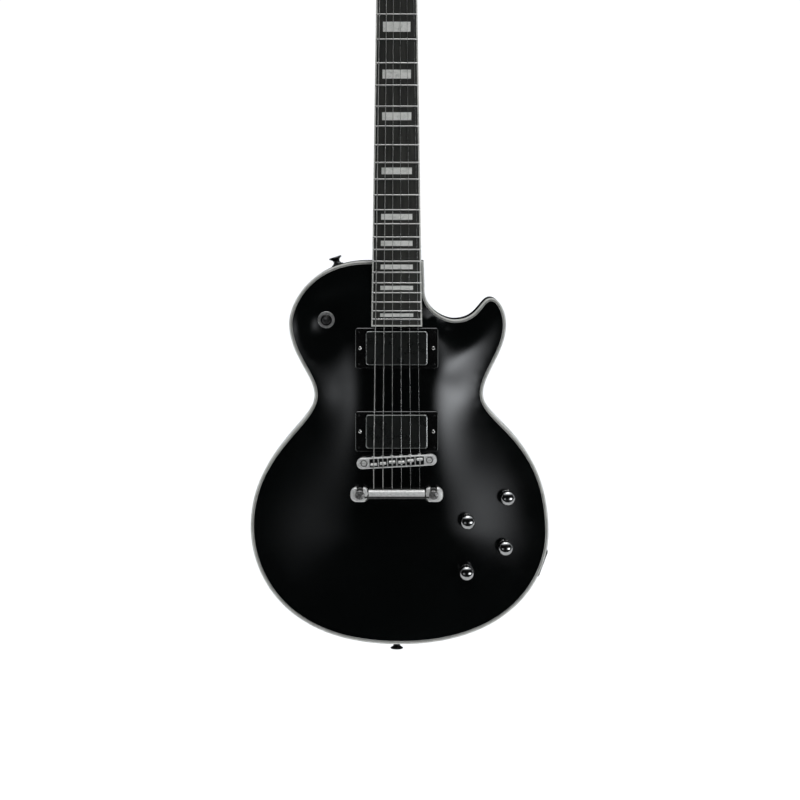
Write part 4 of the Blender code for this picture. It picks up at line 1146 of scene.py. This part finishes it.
def jack():
    face, normal = mount("jack_plate_face")
    seat = face - Vector((0, 0.0115, 0)) - normal * 0.0021
    place = place_of(seat, normal, (0, 1, 0))
    rings = []
    for h, trim in mm((0.3, 0), (1.4, 0), (1.8, 0.1), (2.1, 0.5)):
        side = 0.032 - 2 * trim
        rings.append([place @ Vector((a, b, h)) for a, b in rounded_rect(0, 0, side, side, 0.005 - trim)])
    plate = add("jack_plate", *ring_stack(rings), TIP_PLASTIC, body=None)
    cut(plate, [rod(0.0048, -0.01, 0.01, seat, normal, 48)])
    finish_piece(plate, node="output_jack")
    ring_nut = mm((4, 2.1), (6.2, 2.1), (6.2, 3.1), (5.2, 3.4), (4, 3.4), (4, 2.1))
    turned("jack_nut", ring_nut, seat, normal, BLACK_NICKEL, 96, hexagonal(0.0054, 0.0060, 0.0063), sharp=25)
    bush = mm((3.6, -4.6), (8.5, -4.6), (8.5, -0.4), (4.7, -0.4), (4.7, 3.5), (4.2, 3.7), (3.6, 3),
              (3.6, -4.6))
    turned("jack_bush", bush, seat, normal, NICKEL, 64, sharp=30)
    for a in (-1, 1):
        for b in (-1, 1):
            screw("jack_screw_%d%d" % (a + 1, b + 1), place @ Vector((a * 0.0125, b * 0.0125, 0.0021)),
                  normal, 0.0016, a + b * 0.4)


def strap_buttons():
    for name in ("tail", "shoulder"):
        face, axis = mount("strap_button_%s_face" % name)
        foot = face - axis * 0.0097
        washer = mm((0, 0), (6.8, 0), (7, 0.5), (6.6, 1.1), (0, 1.1))
        turned("strap_felt_" + name, washer, foot, axis, FELT, 48, slot="black_cover_plastic")
        profile = mm((0, 0.9), (5, 0.9), (5.2, 1.4), (4.2, 2.4), (3.7, 3.6), (3.7, 4.6), (4.1, 5.8), (5, 6.8),
                     (6.3, 7.6), (7.2, 8.2), (7.4, 8.8), (7.1, 9.4), (6.6, 9.7), (4, 9.7), (3, 8.8), (0, 8.8))
        turned("strap_knob_" + name, profile, foot, axis, BLACK_NICKEL, 64, node="strap_button_" + name,
               sharp=40)
        screw("strap_screw_" + name, foot + axis * 0.0086, axis, 0.0026, 0.3)


def coat(node, mat):
    """New material on a CAD node that stays as it is."""
    NODES[node].data.materials.clear()
    NODES[node].data.materials.append(mat)


def back_covers():
    for node in ("control_cover", "toggle_cover"):
        coat(node, BACK_PLASTIC)
    for k, (x, z) in enumerate(grown_polygon(CAVITY_CORE, 0.0055, 1)[::2]):
        screw("cover_screw_%d" % k, (x, BACK_Y, z), BACKWARD, 0.0022, 0.3 * k)
    centre = middle("toggle_cover")
    for k in range(3):
        a = math.radians(90 + 120 * k)
        screw("switch_cover_screw_%d" % k, (centre.x + 0.0195 * math.cos(a), BACK_Y,
                                            centre.z + 0.0195 * math.sin(a)), BACKWARD, 0.0022, 0.5 * k)


# ---------------- tuners
def string_wraps(i, foot):
    """Turns of the string round its post."""
    radius = STRING_RADII[i]
    turns = 3 if i in WOUND else 5
    pitch = min(0.0046 / turns, 0.0013)
    place = place_of(foot, HEAD_FRONT)
    reach = POST_RADIUS + radius + 0.00002
    coil = []
    for k in range(28 * turns + 1):
        a = math.tau * k / 28
        height = WRAP_HEIGHT + pitch * (k / 28 - turns / 2)
        coil.append(place @ Vector((reach * math.cos(a), reach * math.sin(a), height)))
    return tube_data(coil, min(radius, pitch * 0.48), 8)


def tuners():
    bush = mm((3.4, -14), (4.6, -14), (4.6, 0.2), (6.8, 0.2), (6.8, 0.6), (5.6, 0.7), (5.6, 1.8), (4.8, 2.3),
              (3.6, 2.3), (3.4, 2), (3.4, -14))
    post = mm((0, -18), (3.1, -18), (3.1, 9), (2.7, 10.4), (2.7, 11.6), (3.1, 12.8), (3.1, 15.6), (2.8, 16.3),
              (2.2, 16.5), (0, 16.5))
    collar = mm((0, -2), (3.8, -2), (3.8, 1.2), (3, 2), (0, 2))
    grip = mm((1.8, -2), (3.1, -1.4), (3.4, -0.4), (2.9, 0.6), (3.4, 1.2), (5, 2), (6.6, 3.4), (7.8, 5.5),
              (8.4, 7.8), (8.3, 9.8), (7.5, 12), (6, 13.6), (3.6, 14.5), (0, 14.8))
    for i in range(6):
        side, half, row = post_place(i)
        number = i + 1
        foot = on_head(side * half, row)
        rings = []
        for depth, trim in mm((0.3, 0), (8.5, 0), (9.8, 0.6), (10.4, 1.8), (10.5, 3.2)):
            case = rounded_rect(side * half, row - 0.0025, 0.0145 - 2 * trim, 0.0185 - 2 * trim,
                                0.0042 - trim)
            rings.append([on_head(u, v, -HEAD_THICK - depth) for u, v in case])
        add("tuner_case_%d" % number, *ring_stack(rings), NICKEL, node="tuner_housing_%d" % number, sharp=50)
        turned("tuner_bush_%d" % number, bush, foot, HEAD_FRONT, NICKEL, 60,
               hexagonal(0.00495, 0.0054, 0.0057), sharp=25)
        turned("tuner_collar_%d" % number, collar, on_head(side * (half + 0.0070), row - WORM_OFFSET,
                                                           WORM_DEPTH), (side, 0, 0), NICKEL, 32, sharp=30)
        turned("tuner_shaft_%d" % number, post, foot, HEAD_FRONT, NICKEL, 40, body="tuner_post_%d" % number,
               node="tuner_post_%d" % number, sharp=30)
        add("string_wraps_%d" % number, *string_wraps(i, foot), PLAIN_STRING, body="tuner_post_%d" % number,
            slot="string_steel", sharp=60)
        pivot = on_head(side * half, row - WORM_OFFSET, WORM_DEPTH)
        edge = (0.0435 if row < 0.1 else 0.0460) - half
        profile = [(0, 0.004), (0.0018, 0.004)] + [(radius, edge + up) for radius, up in grip]
        verts, faces = turned_data(profile, pivot, (side, 0, 0), 48)
        thin = Matrix.Translation(pivot) @ Matrix.Scale(0.5, 4, HEAD_FRONT) @ Matrix.Translation(-pivot)
        verts = [thin @ v if (v.x - pivot.x) * side > edge + 0.0010 else v for v in verts]
        add("tuner_grip_%d" % number, verts, faces, NICKEL, body="tuner_button_%d" % number,
            node="tuner_button_%d" % number, sharp=40)


# ---------------- build
carved_top()
body_shell()
binding()
neck()
headstock_face()
fingerboard()
frets()
inlays()
nut()
strings()
pickups()
bridge_body()
saddles()
thumbwheels()
tailpiece()
tail_studs()
knobs()
toggle()
jack()
strap_buttons()
back_covers()
tuners()
for node, mat in (("truss_rod", STEEL), ("battery", CAN_PAINT), ("control_board", BOARD_GREEN)):
    coat(node, mat)

# ---------------- stage and light
FLOOR_Z = -0.9
floor_mesh = bpy.data.meshes.new("floor")
floor_mesh.from_pydata([(-40, -1.2, FLOOR_Z), (40, -1.2, FLOOR_Z), (40, 80, FLOOR_Z), (-40, 80, FLOOR_Z)], [],
                       [(0, 1, 2, 3)])
floor = link("floor", floor_mesh)
floor_mesh.materials.append(surface("pale_floor", 0.88, 0.92, 1.5, (0.85, 0.95)))
bpy.context.scene.view_settings.view_transform = "Standard"

world = bpy.data.worlds.new("studio")
bpy.context.scene.world = world
world.use_nodes = True
sky = world.node_tree


def sky_math(kind, *values):
    step = sky.nodes.new("ShaderNodeMath")
    step.operation = kind
    for socket, value in zip(step.inputs, values):
        set_input(sky, socket, value)
    return step.outputs["Value"]


def sky_fade(angle, start, end):
    """0 before start and 1 after end, in degrees, with a soft change between."""
    rising = start < end
    low, high = sorted((math.radians(start), math.radians(end)))
    step = new_node(sky, "ShaderNodeMapRange", Value=angle, From_Min=low, From_Max=high,
                    To_Min=0.0 if rising else 1.0, To_Max=1.0 if rising else 0.0)
    step.interpolation_type = "SMOOTHSTEP"
    return step.outputs["Result"]


ray = new_node(sky, "ShaderNodeTexCoord").outputs["Generated"]
split = new_node(sky, "ShaderNodeSeparateXYZ", Vector=ray)
azimuth = sky_math("ARCTAN2", split.outputs["X"], sky_math("MULTIPLY", split.outputs["Y"], -1.0))
height_angle = sky_math("ARCSINE", split.outputs["Z"])


def glow(strength, *fades):
    """A soft lamp in the sky: the product of its fades."""
    value = strength
    for angle, start, end in fades:
        value = sky_math("MULTIPLY", sky_fade(angle, start, end), value)
    return value


GLOWS = (
    glow(7.6, (azimuth, 16, 40), (azimuth, 56, 40), (height_angle, -17, -4), (height_angle, 8, -4)),
    glow(3.0, (azimuth, 9, 24), (azimuth, 40, 27), (height_angle, -15, -8), (height_angle, 2, -6)),
    glow(1.8, (azimuth, -14, -38), (azimuth, -44, -26), (height_angle, -15, -4), (height_angle, 3, -6)),
    glow(0.30, (azimuth, -6, -24), (azimuth, -44, -26), (height_angle, -22, -11), (height_angle, 2, -10)),
    glow(1.5, (height_angle, 34, 62)),
    glow(0.6, (azimuth, 70, 110), (azimuth, 172, 128)),
    glow(0.6, (azimuth, -70, -110), (azimuth, -172, -128)),
)
total_light = 0.008
for lamp in GLOWS:
    total_light = sky_math("ADD", lamp, total_light)
to_camera = new_node(sky, "ShaderNodeLightPath").outputs["Is Camera Ray"]
seen = new_node(sky, "ShaderNodeMix", Factor=to_camera, A=total_light, B=1.05)
tint = sky.nodes.new("ShaderNodeMix")
tint.data_type = "RGBA"
for socket, value in ((0, to_camera), (6, (0.93, 0.96, 1.0, 1)), (7, (1, 1, 1, 1))):
    set_input(sky, tint.inputs[socket], value)
sky.links.new(seen.outputs[0], sky.nodes["Background"].inputs["Strength"])
sky.links.new(tint.outputs[2], sky.nodes["Background"].inputs["Color"])

sun_data = bpy.data.lights.new("overhead", "SUN")
sun_data.energy = 1.2
sun_data.angle = math.radians(40)
sun = link("overhead", sun_data)
sun.rotation_euler = (math.radians(8), 0, 0)
